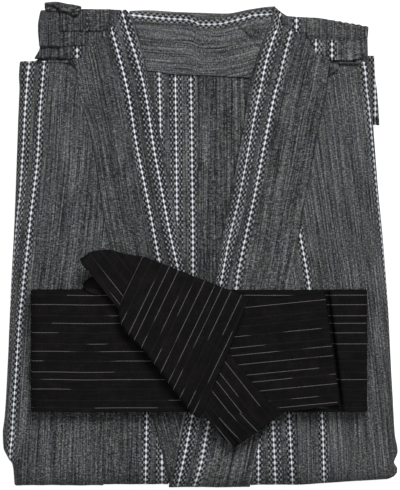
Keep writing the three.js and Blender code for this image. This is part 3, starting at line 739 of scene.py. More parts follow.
# Each hidden layer's level, and how far its fold lies inside the packet's outline.
HIDDEN = [
    {"z": 0.0, "inset": 1.6},
    {"z": 3.1, "inset": 3.0},
    {"z": 6.3, "inset": 0.9},
    {"z": 12.3, "inset": 6.0},
    {"z": 15.5, "inset": 3.4},
    {"z": 18.9, "inset": 6.2},
]
UNDERSIDE_CREASES = [
    (0.7, 2.2, (-120, 150), (-60, 146), (20, 152), (110, 140)),
    (0.5, 1.6, (-140, 60), (-30, 66), (60, 58)),
    (0.6, 2.6, (-20, 120), (-12, 20), (-18, -90), (-10, -170)),
    (0.5, 1.8, (70, 10), (84, -70), (80, -150)),
    (0.6, 2.0, (-100, -20), (-92, -110), (-104, -176)),
    (0.4, 1.5, (-60, -150), (0, -158), (90, -150)),
]


def crown(x, y):
    return CROWN * (1 - (x / HALF_WIDTH) ** 2) * (1 - (y / HALF_LENGTH) ** 4)


def hidden_layers():
    """The layers under the fronts, each on the one before it. Gives the name of the top one."""
    below = []
    for number, layer in enumerate(HIDDEN, start=1):
        inset, seed = layer["inset"], 40 + number
        waver = lambda y: WAVER * float(noise(np.array(y / WAVER_LENGTH), np.array(float(seed)), seed))
        inward = lambda ends, *ways: tuple(end + way * inset for end, way in zip(ends, ways))
        rows = [inward(PACKET_HEAD, 1, -1, -1, -1)]
        for y, left, right in PACKET:
            rows.append((y, left + inset + waver(y), right - inset + waver(y + OTHER_SIDE)))
        rows.append(inward(PACKET_HEM, 1, 1, -1, 1))
        bottom, top = number == 1, number == len(HIDDEN)
        name = f"hidden_{number}"
        cloth_piece(
            name, rows, below, upright(PLAIN, 0), thick=HIDDEN_THICK, soft=HIDDEN_THICK / 2,
            least=layer["z"] - GAP, ribs=0.0, waves=0.0 if bottom else HIDDEN_WAVES, seed=seed,
            material=ROBE, node="folded_core", steps=HIDDEN_STEPS, lift=crown if top else None,
            creases=UNDERSIDE_CREASES if bottom else (),
        )
        below = [name]
    return below[0]


TOP_HIDDEN = hidden_layers()

# ---- robe panels

FOLD = Turn(FOLD_RADIUS, FOLD_DEPTH, FOLD_REACH, nose=0.62)
HEM_FOLD = Turn(16.0, 14.0, FOLD_REACH, nose=0.8)
COLLAR_FOLD = Turn(15.0, 14.5, FOLD_REACH, nose=0.8)
COLLAR_OVER_FOLD = Turn(15.5, 17.0, FOLD_REACH, nose=0.76)
SHOULDER_FOLD = Turn(4.0, 8.0, 7.0)


def robe(name, rows, on, weave, seed, **more):
    """A piece of the robe's cloth. Its rows are sections from A to B, down the piece."""
    on = [TOP_HIDDEN if other == "core" else other for other in on]
    return cloth_piece(name, rows, on, weave, seed=seed, material=ROBE, **more)


BACK_RIGHT_EDGE = [(146, -54), (120, -48), (92, -42.5), (12, -27.4), (-19, -20.6), (-50, -12)]
BACK_LEFT_EDGE = [(146, 53), (124, 49.5), (94, 45), (60, 38.6), (9, 28.2), (-50, 16)]
BACK_RIGHT = [(y, edge, SEAM_BACK) for y, edge in BACK_RIGHT_EDGE]
BACK_LEFT = [(y, SEAM_BACK, edge) for y, edge in BACK_LEFT_EDGE]
BACK_PLAIN = 21.0  # no stripe shows on the left half of the back
BACK_GRAIN = grain([
    (-NARROW, [(-33.0, 136.6), (-31.8, 94.2), (-30.6, -36.2)]),
    (WIDE, [(-20.0, 136.6), (-18.8, 35.8), (-18.2, -36.2)]),
    (NARROW, [(-7.6, 136.6), (-5.8, -21.0), (-5.8, -76.2)]),
])
robe("back_right", BACK_RIGHT, ["core"], BACK_GRAIN, 1)
robe("back_left", BACK_LEFT, ["core"], upright(BACK_PLAIN, SEAM_BACK), 2, fade=-0.16)

NECK = [
    (-53, 139, -57, 186.8, 1.0, 0.5),
    (-41, 139, -43, 187.2, 1.6, 0.8),
    (-19, 136, -19, 185.9, 1.6, 0.8),
    (0, 135.5, 0, 185.3, 1.6, 0.8),
    (20, 134.5, 20, 184.6, 2.4, 1.6),
    (40.6, 133.6, 40.6, 188, 3.2, 2.4),
    (50, 133.4, 54, 190, 3.2, 2.4),
    (58, 133.4, 60.4, 190.4, 3.0, 2.4),
]
NECK_GRAIN = grain([
    (LONE, [
        (-54.7, 183.6), (-42.6, 182.5), (-27.4, 181.2), (-9.8, 180.2), (-5.2, 179.0), (-0.2, 176.6),
        (7.6, 176.6), (16.2, 177.0), (25.4, 179.2), (34.0, 181.0), (42.8, 183.6), (56.5, 184.6),
    ]),
], along_x=True)
NECK_CREASES = [
    (-3.6, 1.6, (27, 178), (34, 172), (41, 166), (49, 157)),
    (1.8, 1.9, (30, 179), (40, 171), (50, 160)),
    (-3.4, 1.5, (36, 178), (44, 170), (51, 160)),
    (-0.5, 2.0, (-50, 160), (-20, 157), (10, 158)),
    (0.6, 3.0, (-48, 150), (-10, 147), (30, 149)),
    (-0.5, 1.6, (12, 168), (28, 171), (38, 177)),
]
robe("collar_neck", NECK, ["core", "back_right", "back_left"], NECK_GRAIN, 3, thick=COLLAR,
     turns={"b": SHOULDER_FOLD}, creases=NECK_CREASES, fade=0.3)

FRONT_RIGHT = [
    (146.8, -143.3, -103),
    (141, -143.8, -100),
    (118, -145.1, -96.4),
    (92, -146.1, -88.8),
    (12, -149, -75.2),
    (-44, -152, -61.6),
    (-90, -154, -69.4),
    (-137, -156.6, -77.0),
    (-152, -158.2, -77.1),
    (-162.5, -157.6, -77.2),
    (-170.6, -154, -77.3),
    (-176, -150.2, -77.4),
    (-181, -149.2, -77.6),
    (-193, -148.4, -77.8),
]
FRONT_SEAM = 89.6  # cloth coordinate of the seam to the collar and the overlap
FRONT_RIGHT_GRAIN = grain([
    (WIDE, [
        (-136.8, 144.6), (-139.4, 119.0), (-142.2, 71.8), (-144.4, 39.8), (-146.9, 19.0), (-166.4, -193),
    ]),
    (NARROW, [
        (-125.0, 143.8), (-128.2, 109.4), (-130.2, 71.8), (-135.7, 24.6), (-139.4, -10.6), (-142.4, -36.2),
        (-145.2, -64.2), (-147.4, -101.0), (-149.5, -131.4), (-151.0, -155.4), (-152.0, -166.6),
        (-153.8, -193.0),
    ]),
    (FRONT_SEAM, [
        (-48.2, 147.8), (-52.2, 35.8), (-61.0, -44.2), (-77.0, -137.0), (-77.4, -164.2), (-77.8, -193.0),
    ]),
])
STUB_X, STUB_Y = -97.8, 145.5
HALF_STUB = 9


def stub(x, y, across):
    """The lone stripe shows again for a few millimetres where the shoulder is pleated."""
    return np.where((y > STUB_Y) & (abs(x - STUB_X) < HALF_STUB), LONE + x - STUB_X, across)


SLACK = 2.2  # how far the fronts lie off the layers under them at the shoulders
SLACK_FROM, SLACK_REACH = 124, 14


def shoulder_slack(x, y):
    return SLACK * eased((y - SLACK_FROM) / SLACK_REACH)


FRONT_RIGHT_CREASES = [
    (2.6, 4.0, (-116, 147), (-104, 141), (-94, 132)),
    (-5.6, 1.8, (-112, 144.6), (-103.4, 143.6), (-99, 140), (-98.2, 131)),
    (-1.8, 1.5, (-110, 142), (-105, 139), (-101, 133)),
    (1.4, 1.6, (-106, 138), (-103, 134), (-101, 129)),
    (-0.6, 3.0, (-136, 120), (-128, 60), (-126, 10)),
    (0.7, 5.0, (-118, 110), (-112, 30), (-114, -30)),
    (-0.6, 2.4, (-100, 80), (-96, 20), (-92, -28)),
    (-0.7, 3.0, (-120, -134), (-116, -160), (-118, -186)),
    (0.5, 4.0, (-98, -134), (-96, -158), (-100, -186)),
]
robe("front_right", FRONT_RIGHT, ["core"], FRONT_RIGHT_GRAIN, 4, turns={"a": FOLD, "last": HEM_FOLD},
     creases=FRONT_RIGHT_CREASES, patch=stub, lift=shoulder_slack)

OVERLAP_RIGHT = [
    (-48, -61.2, -60.2),
    (-90, -69, -50),
    (-137, -77, -38.8),
    (-162, -77.2, -31.8),
    (-192.2, -77.8, -25.5),
]
OVERLAP_RIGHT_GRAIN = grain([
    (-NARROW, [(-42.8, -133.8), (-44.0, -193.8)]),
    (WIDE, [(-30.6, -173.8), (-30.6, -190.6)]),
])
OVERLAP_RIGHT_CREASES = [
    (-0.6, 2.0, (-64, -134), (-62, -160), (-63, -188)),
    (0.5, 3.0, (-54, -136), (-53, -188)),
]
robe("overlap_right", OVERLAP_RIGHT, ["core"], OVERLAP_RIGHT_GRAIN, 5, turns={"last": HEM_FOLD},
     creases=OVERLAP_RIGHT_CREASES, fade=-0.1)

COLLAR_RIGHT = [
    (187.8, -112, -59.2),
    (177, -108, -52.2),
    (150, -103, -45.1),
    (141, -99.6, -42.8),
    (118, -96, -37.8),
    (92, -88.4, -32.7),
    (12, -74.8, -17.4),
    (-19, -67.2, -10.6),
    (-137, -38.4, 17.6),
    (-162, -31.6, 22.6),
    (-191.9, -25.4, 28),
]
COLLAR_EDGE, COLLAR_SEAM = -7.2, 48.3  # cloth coordinates of the collar's fold and of its seam
COLLAR_RIGHT_GRAIN = grain([
    (COLLAR_SEAM, [
        (-106, 175), (-99.4, 141.4), (-96.2, 119.8), (-88.2, 91.8), (-74.6, 11.8), (-38.6, -135.4),
        (-34.6, -149.8), (-31.4, -164.2), (-27.4, -180.2), (-25.0, -189.8),
    ]),
    (NARROW, [
        (-71.0, 172.6), (-58.2, 123.8), (-50.2, 75.8), (-45.0, 50.2), (-38.8, 19.0), (-32.7, -13.0),
        (8.2, -190),
    ]),
    (WIDE, [
        (-62.6, 186.2), (-44.4, 123.8), (-36.2, 71.8), (-30.6, 42.2), (-24.5, 10.5), (-17.8, -19.1),
        (20.8, -190),
    ]),
    (COLLAR_EDGE, [
        (-55.0, 186), (-52.2, 177.4), (-45.0, 150.2), (-41.8, 136.6), (-37.0, 114.2), (-29.0, 71.8),
        (-23.4, 42.2), (-17.3, 10.5), (-10.6, -19.1), (28, -190),
    ]),
])
COLLAR_RIGHT_CREASES = [
    (-0.6, 2.4, (-86, 150), (-78, 110), (-70, 60)),
    (0.6, 4.0, (-74, 140), (-64, 80), (-58, 30)),
    (-0.5, 2.0, (-66, 20), (-56, -20), (-50, -36)),
]
robe("collar_right", COLLAR_RIGHT, ["core", "back_right", "collar_neck"], COLLAR_RIGHT_GRAIN, 6, thick=COLLAR,
     turns={"first": SHOULDER_FOLD, "last": COLLAR_FOLD}, creases=COLLAR_RIGHT_CREASES, fade=-0.16)

FRONT_LEFT = [
    (146, 104.6, 135.2),
    (139, 103.6, 135.6),
    (124, 101.2, 136.6),
    (108, 98, 137.6),
    (76, 91.4, 140),
    (42, 85.2, 142.6),
    (9, 79.8, 145.8),
    (-56, 67.6, 150.6),
    (-90, 71.8, 152.2),
    (-137, 77.2, 154.8),
    (-152, 78, 155.8),
    (-166.4, 78.6, 158.1),
    (-175.2, 78.8, 155.2),
    (78.9, -181.5, 158.4, -181),
    (79.2, -187, 156, -185),
    (79.6, -192.4, 149, -188),
]
FRONT_LEFT_GRAIN = grain([
    (LONE, [(55.8, 147.8), (79.8, 9.4), (87.6, -36.2), (97.6, -135.4), (99.3, -189.0)]),
    (-NARROW, [
        (130.0, 148.8), (132.4, 130.5), (135.6, 107.8), (137.6, 88.6), (139.0, 73.4), (146.2, 3.8),
        (168, -190),
    ]),
])
FRONT_LEFT_CREASES = [
    (1.4, 1.6, (108, 148), (118, 147.6), (130, 148)),
    (-3.2, 1.0, (108, 144.2), (116, 143.4), (130, 143.8)),
    (2.4, 4.0, (98, 148), (107, 141), (116, 133)),
    (-4.8, 1.2, (102, 145.4), (107.6, 145.4), (111.6, 144)),
    (2.0, 1.0, (105.6, 141.8), (109, 142.8), (109.2, 140.4), (106.6, 139.2)),
    (-5.0, 1.4, (113, 142), (109.8, 138.4), (106, 136.2), (101, 134)),
    (1.6, 1.5, (102, 139), (106, 134), (107, 128)),
    (-0.6, 3.0, (124, 120), (126, 60), (130, 10)),
    (0.7, 4.5, (110, 120), (108, 60), (112, 0)),
    (-0.6, 2.6, (98, 60), (100, 10), (104, -34)),
    (-0.7, 3.0, (118, -136), (122, -160), (120, -186)),
    (0.6, 3.6, (134, -134), (138, -160), (134, -184)),
    (-0.8, 3.0, (144, -130), (148, -150), (146, -176)),
]
robe("front_left", FRONT_LEFT, ["core"], FRONT_LEFT_GRAIN, 7, turns={"b": FOLD, "last": HEM_FOLD},
     creases=FRONT_LEFT_CREASES, lift=shoulder_slack, fade=0.1)

OVERLAP_LEFT = [
    (-60, 66.4, 67.4),
    (-90, 60.4, 71.2),
    (-137, 51.2, 76.6),
    (-176, 43.4, 78.6),
    (-192.6, 40.6, 79.5),
]
OVERLAP_LEFT_GRAIN = grain([
    (-NARROW, [(46.6, -170.6), (46.6, -193.8)]),
    (WIDE, [(58.0, -141.8), (60.6, -193.0)]),
    (NARROW, [(71.2, -135.4), (74.2, -191.8)]),
])
robe("overlap_left", OVERLAP_LEFT, ["core"], OVERLAP_LEFT_GRAIN, 8, turns={"last": HEM_FOLD},
     creases=[(-0.5, 2.2, (64, -140), (66, -186))])

COLLAR_LEFT = [
    (58.8, 190.6, 66.6, 184),
    (57.6, 184, 80, 177),
    (56.4, 177, 105, 167),
    (50.8, 165, 107, 158),
    (143, 43.6, 103.4),
    (124, 39.6, 100.6),
    (94, 35, 94.4),
    (60, 28.8, 88.2),
    (9, 18.2, 79.4),
    (-24, 12, 73.4),
    (-137, -13.6, 50.8),
    (-176, -21.8, 43.2),
    (-194.4, -25.4, 40.2),
]
COLLAR_LEFT_GRAIN = grain([
    (COLLAR_EDGE, [
        (58.6, 190), (56.6, 176.6), (50.8, 165.4), (43.6, 143.0), (39.6, 124.6), (35.0, 93.7), (30.6, 71.8),
        (25.3, 45.4), (18.2, 9.4), (12.0, -24.2), (-13.4, -135.4), (-25.0, -191.8),
    ]),
    (WIDE, [
        (63.6, 183.0), (60.0, 170.2), (52.8, 147.0), (47.8, 124.6), (42.2, 98.2), (37.8, 73.4), (30.4, 35.0),
        (22.8, 3.3), (16.1, -32.2), (-6.1, -135.4), (-12.2, -167.4), (-17.8, -191.8),
    ]),
    (NARROW, [
        (73.2, 172.8), (66.2, 145.8), (59.0, 117.4), (52.4, 85.4), (43.6, 40.1), (37.6, 12.6),
        (30.4, -21.8), (28.4, -36.2), (6.0, -145.8), (0.6, -175.4), (-4.2, -191.8),
    ]),
    (COLLAR_SEAM, [
        (110, 168), (102.8, 139.0), (100.6, 124.6), (96.6, 107.8), (88.6, 60.6), (84.6, 42.2), (80.4, 23.0),
        (79.4, 9.4), (71.0, -36.2), (51.0, -136.2), (43.0, -176.2), (39.8, -193.8),
    ]),
])
COLLAR_LEFT_CREASES = [
    (-1.2, 1.8, (16.6, -150), (13, -168), (10.2, -188)),
    (0.8, 2.6, (20, -150), (17, -168), (14, -188)),
    (-0.6, 2.4, (80, 140), (76, 100), (68, 50)),
    (0.6, 4.0, (88, 130), (80, 60), (74, 20)),
    (-0.5, 2.0, (52, 60), (48, 20), (42, -20)),
]
EDGE_LIFT = 3.2  # how high the collar's folded edge stands along the neck opening
EDGE_LIFT_REACH = 9
NECK_LOW, NECK_HIGH = (20, 30), (150, 20)  # where the lift starts and ends, and how gently


def collar_edge_lift(x, y):
    across, along = COLLAR_LEFT_GRAIN(x, y)
    near_edge = np.exp(-(((across - COLLAR_EDGE) / EDGE_LIFT_REACH) ** 2))
    from_low, from_high = (y - NECK_LOW[0]) / NECK_LOW[1], (NECK_HIGH[0] - y) / NECK_HIGH[1]
    beside_neck = np.clip(from_low, 0, 1) * np.clip(from_high, 0, 1)
    return EDGE_LIFT * near_edge * beside_neck


robe("collar_left", COLLAR_LEFT, ["core", "back_right", "back_left", "collar_neck", "collar_right"],
     COLLAR_LEFT_GRAIN, 9, thick=COLLAR, turns={"last": COLLAR_OVER_FOLD}, creases=COLLAR_LEFT_CREASES,
     lift=collar_edge_lift)

# ---- shoulders

PLEAT_STEPS = (1.05, 1.05)
PLEAT_RIGHT_3 = [
    (168, -128.2, -90),
    (158, -128.6, -88),
    (149.6, -132.8, -92.6),
]
PLEAT_RIGHT_2 = [
    (180, -128.6, -80),
    (170, -129.2, -74),
    (159.4, -128.6, -89.4),
]
PLEAT_RIGHT_1 = [(y, SLEEVE_SEAM, edge) for y, edge in [(188.2, -64.4), (180, -67), (171.2, -73)]]
SLEEVE_RIGHT = [(y, edge, SLEEVE_SEAM) for y, edge in [(187.6, -128.2), (175, -130), (159, -128.8)]]
DOTS_X = -90.6  # the last column of a stripe shows at the first pleat


def last_column(x, y, across):
    """Cloth coordinates at the first pleat: plain cloth beside a stripe's last column of dots."""
    return np.where(x < DOTS_X - COLUMN / 2, PLAIN + DOTS_X - x, NARROW + 2 * COLUMN + x - DOTS_X)


PLEAT_FOLD = Turn(1.2, 2.2, 8.0)
PLEAT_BLEND = {"b": 9.0}  # a pleat runs out into the collar


def right_shoulder(name, rows, on, weave, seed, **more):
    # The pleats are painted a little darker (fade -0.2): painted shade among the folds of the shoulder.
    robe(name, rows, ["core", *on], weave, seed, steps=PLEAT_STEPS, waves=0.5, fade=-0.2, **more)


PLEAT_RIGHT_3_CREASES = [
    (-1.6, 1.1, (-128, 148.2), (-112, 150.8), (-93, 151.6)),
    (0.9, 1.5, (-126, 153.6), (-96, 154)),
]
right_shoulder("front_right_pleat_3", PLEAT_RIGHT_3, ["front_right", "collar_right"],
               upright(LONE, -98.6), 10, turns={"last": PLEAT_FOLD}, blends=PLEAT_BLEND,
               creases=PLEAT_RIGHT_3_CREASES)
right_shoulder("front_right_pleat_2", PLEAT_RIGHT_2, ["collar_right", "front_right_pleat_3"],
               upright(PLAIN, -74), 11, turns={"last": PLEAT_FOLD}, blends=PLEAT_BLEND)
right_shoulder("front_right_pleat_1", PLEAT_RIGHT_1, ["collar_right", "front_right_pleat_2"],
               upright(PLAIN, -90), 12, turns={"first": SHOULDER_FOLD, "last": PLEAT_FOLD},
               blends=PLEAT_BLEND, patch=last_column)
right_shoulder("sleeve_right", SLEEVE_RIGHT, ["front_right_pleat_3", "front_right_pleat_2"],
               upright(PLAIN, -130), 13, turns={"first": SHOULDER_FOLD, "last": PLEAT_FOLD})

SLEEVE_CORNER = [
    (-124, 186.6, -124.4, 191.8),
    (-117, 186.2, -118, 192.8),
    (-106, 184.2, -106, 190.6),
    (-100.8, 181.8, -99.4, 189.4),
    (-96.4, 186.4, -95.8, 188.4),
]
CORNER_CREASES = [
    (-6.4, 1.1, (-127, 192), (-116, 189.8), (-110, 186.4), (-99, 181.4)),
    (-4.4, 0.9, (-126, 187.8), (-118, 187.2), (-109, 186)),
    (-3.0, 0.7, (-103.6, 185), (-97.6, 189.4)),
    (1.2, 0.7, (-105, 186), (-99.6, 190)),
]
CORNER_ROLL = Turn(2.2, 7.6, 2.0)
CORNER_LIFT = 3.4  # how far it stands off the shoulder, above its steep lower side
CORNER_SIDE = 2.8  # how wide that side is
CORNER_LOW = ((-124, -117, -106, -100.4), (187.6, 187, 184.4, 182.2))  # that side's line, x and y


def corner_lift(x, y):
    return CORNER_LIFT * eased((y - np.interp(x, *CORNER_LOW)) / CORNER_SIDE)


# The corner is painted a little darker (fade -0.2), as painted shade in the shoulder's folds; its deep
# creases are painted darker still.
robe("sleeve_right_corner", SLEEVE_CORNER, ["front_right_pleat_1", "sleeve_right"],
     grain([(PLAIN, [(0, 190)])], along_x=True), 14, steps=PLEAT_STEPS, waves=0.3, lift=corner_lift,
     turns={"b": CORNER_ROLL}, creases=CORNER_CREASES, fade=-0.2)

PLEAT_LEFT_2 = [
    (87, 165, 86, 172),
    (92.6, 153.6, 92.6, 173),
    (97.4, 150.4, 97.4, 173),
    (107, 147.8, 107, 172),
    (120, 147.8, 120, 170),
    (134.4, 151.6, 134, 168),
]
PLEAT_LEFT_1 = [
    (65.4, 177.6, 65.2, 184.2),
    (71, 173.6, 71, 182.6),
    (76.6, 171, 76.6, 182.2),
    (88.6, 164.8, 92, 181.4),
    (120, 163.8, 120, 177.2),
    (133.6, 163.8, 135, 174),
]
PLEAT_LEFT_BLEND = {"a": 3.6}
STRONG_RIB, STRONG_RIB_HEIGHT = 5.2, 0.6
STRONG_RIBS_FROM, STRONG_RIBS_FULL = 104, 112


def strong_ribs(x, y):
    """Wide ribs towards the end of the left shoulder."""
    ribs = np.cos(2 * math.pi * (x - STRONG_RIBS_FULL) / STRONG_RIB)
    near = np.clip((x - STRONG_RIBS_FROM) / (STRONG_RIBS_FULL - STRONG_RIBS_FROM), 0, 1)
    return STRONG_RIB_HEIGHT * ribs * near


robe("front_left_pleat_2", PLEAT_LEFT_2, ["core", "front_left", "collar_left"],
     grain([(WIDE, [(92.6, 0)]), (NARROW, [(105.4, 0)])]), 15, steps=PLEAT_STEPS, waves=0.5,
     blends=PLEAT_LEFT_BLEND)
robe("front_left_pleat_1", PLEAT_LEFT_1, ["core", "collar_left", "front_left_pleat_2"],
     upright(LONE, 77), 16, steps=PLEAT_STEPS, waves=0.4, lift=strong_ribs,
     turns={"b": SHOULDER_FOLD}, blends=PLEAT_LEFT_BLEND)

SLEEVE_LEFT = [
    (152.4, 126, 140.2),
    (139, 126, 140.8),
    (122, 126, 142.7),
    (109, 127, 143.7),
    (96.6, 130, 144.4),
]
cloth_piece("sleeve_left", SLEEVE_LEFT, [], upright(WIDE, 141), seed=17, material=ROBE,
            least=9.4, steps=PLEAT_STEPS, waves=0.3, thick=2.0, soft=1.0,
            creases=[(-4.6, 1.8, (134, 100.4), (140, 100), (147, 98.6))])

# ---- belt

BELT_WIDTH = 96.0
STACK_LAYERS = 11
STACK_STRIP = 0.72  # one layer in the stack
STACK_LEFT, STACK_RIGHT = -134.6, 133.2
STACK_HIGH = -36.4  # its upper edge in plan
STACK_HEIGHT = 10.0
STACK_PLACES = (np.arange(-130, 130, 4), np.arange(-130, -36, 4))  # where the robe holds it up
ROBE_UNDER_BELT = [
    TOP_HIDDEN, "front_right", "overlap_right", "back_right", "back_left", "collar_right", "front_left",
    "overlap_left", "collar_left",
]
PIN_ORIGIN = -39.4  # a pinstripe of the stack
# At the strap's end the stack is pressed in.
STACK_CREASE = [(-8.0, 1.9, (98.6, -14), (101.4, -39), (111.4, -125), (114.0, -148))]
CREASED = (98.0, 119.0)  # the stretch of the stack that needs finer steps for it
STACK_STEP, CREASED_STEP, STACK_ACROSS_STEP = 7.0, 0.8, 3.0
STACK_ROUND = 0.5  # rounding of the strip's edges
STACK_LOOP = 0.75  # how far a loop at the stack's end stands out
STACK_LOOP_RADIUS = 0.5
STACK_LOOP_STEPS = 6
STACK_SLIP = (0.3, 2.2)  # the least and the most that a loop lies short of the stack's end
STACK_SHIFT = 0.8  # the most that a layer lies aside
STACK_WAVER, STACK_WAVER_LENGTH = 0.3, 30  # how unevenly its edges run
STACK_SWELL, STACK_SWELL_LENGTH = 0.25, 40  # and how uneven its top is


def belt_stack():
    """One long strip folded to and fro, so that its ends are loops and its sides are edges."""
    tight, smooth = support_of(ROBE_UNDER_BELT)
    for _ in range(3):
        smooth = spread(smooth, 4, np.mean)
    widths = line_of_stations(BELT_WIDTH, None, None, STACK_ROUND, STACK_ACROSS_STEP)
    across, edge = widths["at"][0], widths["edge"][0]
    y = STACK_HIGH - across
    top = float(sample(tight, *np.meshgrid(*STACK_PLACES)).max()) + GAP + STACK_HEIGHT
    x_path, layer_path, along = [], [], []
    rng = np.random.default_rng(7)
    done = 0.0
    for layer in range(STACK_LAYERS):
        left = STACK_LEFT + rng.uniform(*STACK_SLIP)
        right = STACK_RIGHT - rng.uniform(*STACK_SLIP)
        places = np.arange(left, right, STACK_STEP)
        places = places[(places < CREASED[0] - 1) | (places > CREASED[1] + 1)]
        places = np.sort(np.concatenate([places, np.arange(*CREASED, CREASED_STEP), [right]]))
        if layer % 2:
            places = places[::-1]
        x_path.extend(places)
        layer_path.extend([float(layer)] * len(places))
        along.extend(done + abs(places - places[0]))
        done += right - left
        if layer + 1 < STACK_LAYERS:
            out = 1 if layer % 2 == 0 else -1
            for turn in np.linspace(0, math.pi, STACK_LOOP_STEPS)[1:-1]:
                x_path.append(places[-1] + out * STACK_LOOP * math.sin(turn))
                layer_path.append(layer + (1 - math.cos(turn)) / 2)
                along.append(done + turn * STACK_LOOP_RADIUS)
            done += math.pi * STACK_LOOP_RADIUS
    x_path, layer_path, along = np.array(x_path), np.array(layer_path), np.array(along)
    shift = np.interp(layer_path, range(STACK_LAYERS), rng.uniform(-STACK_SHIFT, STACK_SHIFT, STACK_LAYERS))
    x = np.repeat(x_path[:, None], len(across), axis=1)
    layers = np.repeat(layer_path[:, None], len(across), axis=1)
    y = y[None, :] + shift[:, None] + STACK_WAVER * noise(x / STACK_WAVER_LENGTH, layers, 5)
    low = np.maximum(sample(smooth, x, y), sample(tight, x, y)) + GAP + STACK_STRIP / 2
    share = (layer_path / (STACK_LAYERS - 1))[:, None]
    z = low + (top - STACK_STRIP / 2 - low) * share
    swell = STACK_SWELL * noise(x / STACK_SWELL_LENGTH, y / STACK_SWELL_LENGTH, 9)
    z = z + share * (swell + crease_relief(STACK_CREASE, x, y))
    full = rounded(edge, STACK_ROUND)[None, :] * np.ones_like(x)
    full[0], full[-1] = 0, 0
    middle = np.stack([x, y, z], axis=-1)
    flat_y = np.repeat(along[:, None], len(across), axis=1)
    flat_x = np.repeat(across[None, :], len(along), axis=0)
    pins = PIN_ORIGIN - (STACK_HIGH - flat_x)
    piece = shell("belt_stack", middle, STACK_STRIP, full, pins, flat_y, 21, OBI)
    declare(piece, "belt_stack", ROBE_UNDER_BELT, middle)
    return top


STACK_TOP = belt_stack()


def belt(name, rows, on, weave, seed, **more):
    """A piece of the belt on its stack. Its rows are ax, ay, bx, by, az and bz."""
    return cloth_piece(name, rows, on, weave, thick=BELT, seed=seed, material=OBI, slot="belt_cloth",
                       ribs=0.05, waves=0.35, least=STACK_TOP, **more)


STRAP = [
    (4, -130, -58, -54, 1.4, 1.4),
    (40, -134, 38, -43, 1.4, 1.4),
    (63, -133.2, 68, -40.6, 1.4, 1.4),
    (110.4, -127.2, 98.4, -38.6, 3.8, 3.8),
]
STRAP_SLOPE = 0.1  # its stripes rise to the right
belt("belt_strap", STRAP, ["belt_stack", "collar_left", "overlap_left"],
     straight((68, -42), (1, STRAP_SLOPE), 3.0), 22, turns={"last": Turn(0.9, 1.5, 16)},
     creases=[(-0.5, 5, (40, -70), (70, -66), (96, -70))])

TAIL = [
    (-95.4, -11.4, -86, -5.4, 8.0, 7.0),
    (-93, -16.4, -74, -4.6, 8.0, 7.0),
    (-88, -21.6, -62, -7.4, 7.4, 6.6),
    (-76.6, -36.4, -45.8, -10.4, 6.8, 6.4),
    (-12, -115, 23.2, -87.4, 5.8, 6.2),
    (3.2, -135, 39.6, -108, 5.2, 6.6),
    (15, -150.6, 51.6, -122.4, 2.6, 6.2),
    (27, -161.6, 63.2, -135.8, -1.0, 4.0),
]
TAIL_GRAIN = straight((0, -95), (0.62, -0.785), 2.0)
belt("belt_tail", TAIL, ["belt_stack", "belt_strap", "front_right", "collar_left", "overlap_left"],
     TAIL_GRAIN, 28, turns={"b": Turn(1.3, 1.7, 38)})

TAIL_UNDER = [
    (-94.4, -31.4, -88.2, -25.8, -9.0, -5.0),
    (-92, -35.2, -81, -27, -8.0, -2.0),
    (-88.4, -38, -72, -33, -4.0, 0.4),
    (-84, -39.5, -66, -40, 0.0, 0.4),
]


# The tail's under layer gets no pinstripes, so it reads plain black: a real layer of the belt, painted as the
# shade of the hollow under the tail's end.
BETWEEN_PINS = 12.0  # a cloth coordinate with no pinstripe


def no_pins(x, y, across):
    return np.full_like(across, BETWEEN_PINS)


belt("belt_tail_under", TAIL_UNDER, ["belt_stack"], TAIL_GRAIN, 25, node="belt_tail", patch=no_pins,
     steps=PLEAT_STEPS)

OVER = [
    (-45.8, -9.6, 38.2, -42.6, 9.6, 6),
    (-64, -56, 31, -62.6, 12.4, 6),
    (-42.4, -86, 20.6, -89.4, 12.6, 6),
    (-19, -117, 10.2, -113.6, 11.2, 6),
    (-5.8, -134.4, -0.4, -137.6, 9.0, 6.6),
]
OVER_TURNS = {"first": Turn(3.2, 4.4, 12), "a": Turn(3.6, 5.5, 10)}
belt("belt_over", OVER, ["belt_stack", "belt_strap", "belt_tail"],
     straight((-20, -60), (0.433, 0.901)), 24, turns=OVER_TURNS)

# ---- floor, light and camera

FLOOR_SIZE = 6.0
FLOOR_GLOW = 0.92  # the paper is lit from behind, so that it stays white round the packet
FLOOR_GREYS = (0.10, 0.12)
FIBRE_SCALE = 900.0
WORLD_STRENGTH = 0.45
LIGHTS = [
    {"name": "top", "place": (0.0, 0.3, 2.9), "size": 2.4, "power": 24},
    {"name": "key", "place": (0.55, 1.45, 2.35), "size": 1.2, "power": 134},
    {"name": "fill", "place": (-1.4, -0.4, 2.4), "size": 1.4, "power": 22},
]
LIGHTS_AIM = (0, 0, 0.02)
CAMERA_LENS = 200.0  # mm on a 36 mm sensor, so that the view is nearly parallel
CAMERA_SENSOR = 36.0
VIEW_LENGTH = 0.392  # how much of the packet's length the view takes in, in metres
VIEW_PLANE = 0.027  # height of the cloth that the view is sized at
VIEW_CENTRE = (-0.0002, -0.0002)


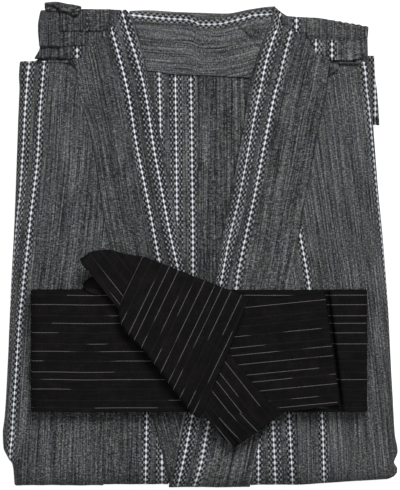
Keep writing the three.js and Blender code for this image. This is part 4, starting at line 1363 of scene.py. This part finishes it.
def make_floor():
    """White paper under the packet, which the packet's own shadow hardly darkens."""
    bpy.ops.mesh.primitive_plane_add(size=FLOOR_SIZE, location=(0, 0, 0))
    floor = bpy.context.object
    floor.name = "floor"
    paper = bpy.data.materials.new("white_paper")
    paper.use_nodes = True
    tree = paper.node_tree
    fibres = tree.nodes.new("ShaderNodeTexNoise")
    fibres.inputs["Scale"].default_value = FIBRE_SCALE
    ramp = tree.nodes.new("ShaderNodeValToRGB")
    for element, grey in zip(ramp.color_ramp.elements, FLOOR_GREYS):
        element.color = (grey, grey, grey, 1)
    tree.links.new(fibres.outputs["Fac"], ramp.inputs["Fac"])
    shader = tree.nodes["Principled BSDF"]
    tree.links.new(ramp.outputs["Color"], shader.inputs["Base Color"])
    shader.inputs["Emission Color"].default_value = (1, 1, 1, 1)
    shader.inputs["Emission Strength"].default_value = FLOOR_GLOW
    shader.inputs["Roughness"].default_value = 0.9
    floor.data.materials.append(paper)


def area_light(name, place, size, power):
    light = bpy.data.lights.new(name, "AREA")
    light.shape = "DISK"
    light.size = size
    light.energy = power
    lamp = bpy.data.objects.new(name, light)
    lamp.location = place
    bpy.context.scene.collection.objects.link(lamp)
    target = Vector(LIGHTS_AIM) - lamp.location
    lamp.rotation_euler = target.to_track_quat("-Z", "Y").to_euler()


def make_light():
    world = bpy.data.worlds.new("studio")
    bpy.context.scene.world = world
    world.use_nodes = True
    sky = world.node_tree.nodes["Background"]
    sky.inputs["Color"].default_value = (1, 1, 1, 1)
    sky.inputs["Strength"].default_value = WORLD_STRENGTH
    for light in LIGHTS:
        area_light(**light)


def make_camera():
    camera = bpy.data.cameras.new("camera")
    camera.lens = CAMERA_LENS
    camera.sensor_width = CAMERA_SENSOR
    camera.clip_end = 20
    eye = bpy.data.objects.new("camera", camera)
    distance = VIEW_LENGTH / CAMERA_SENSOR * CAMERA_LENS
    eye.location = (*VIEW_CENTRE, VIEW_PLANE + distance)
    bpy.context.scene.collection.objects.link(eye)
    bpy.context.scene.camera = eye
    bpy.context.scene.view_settings.view_transform = "Standard"


make_floor()
make_light()
make_camera()
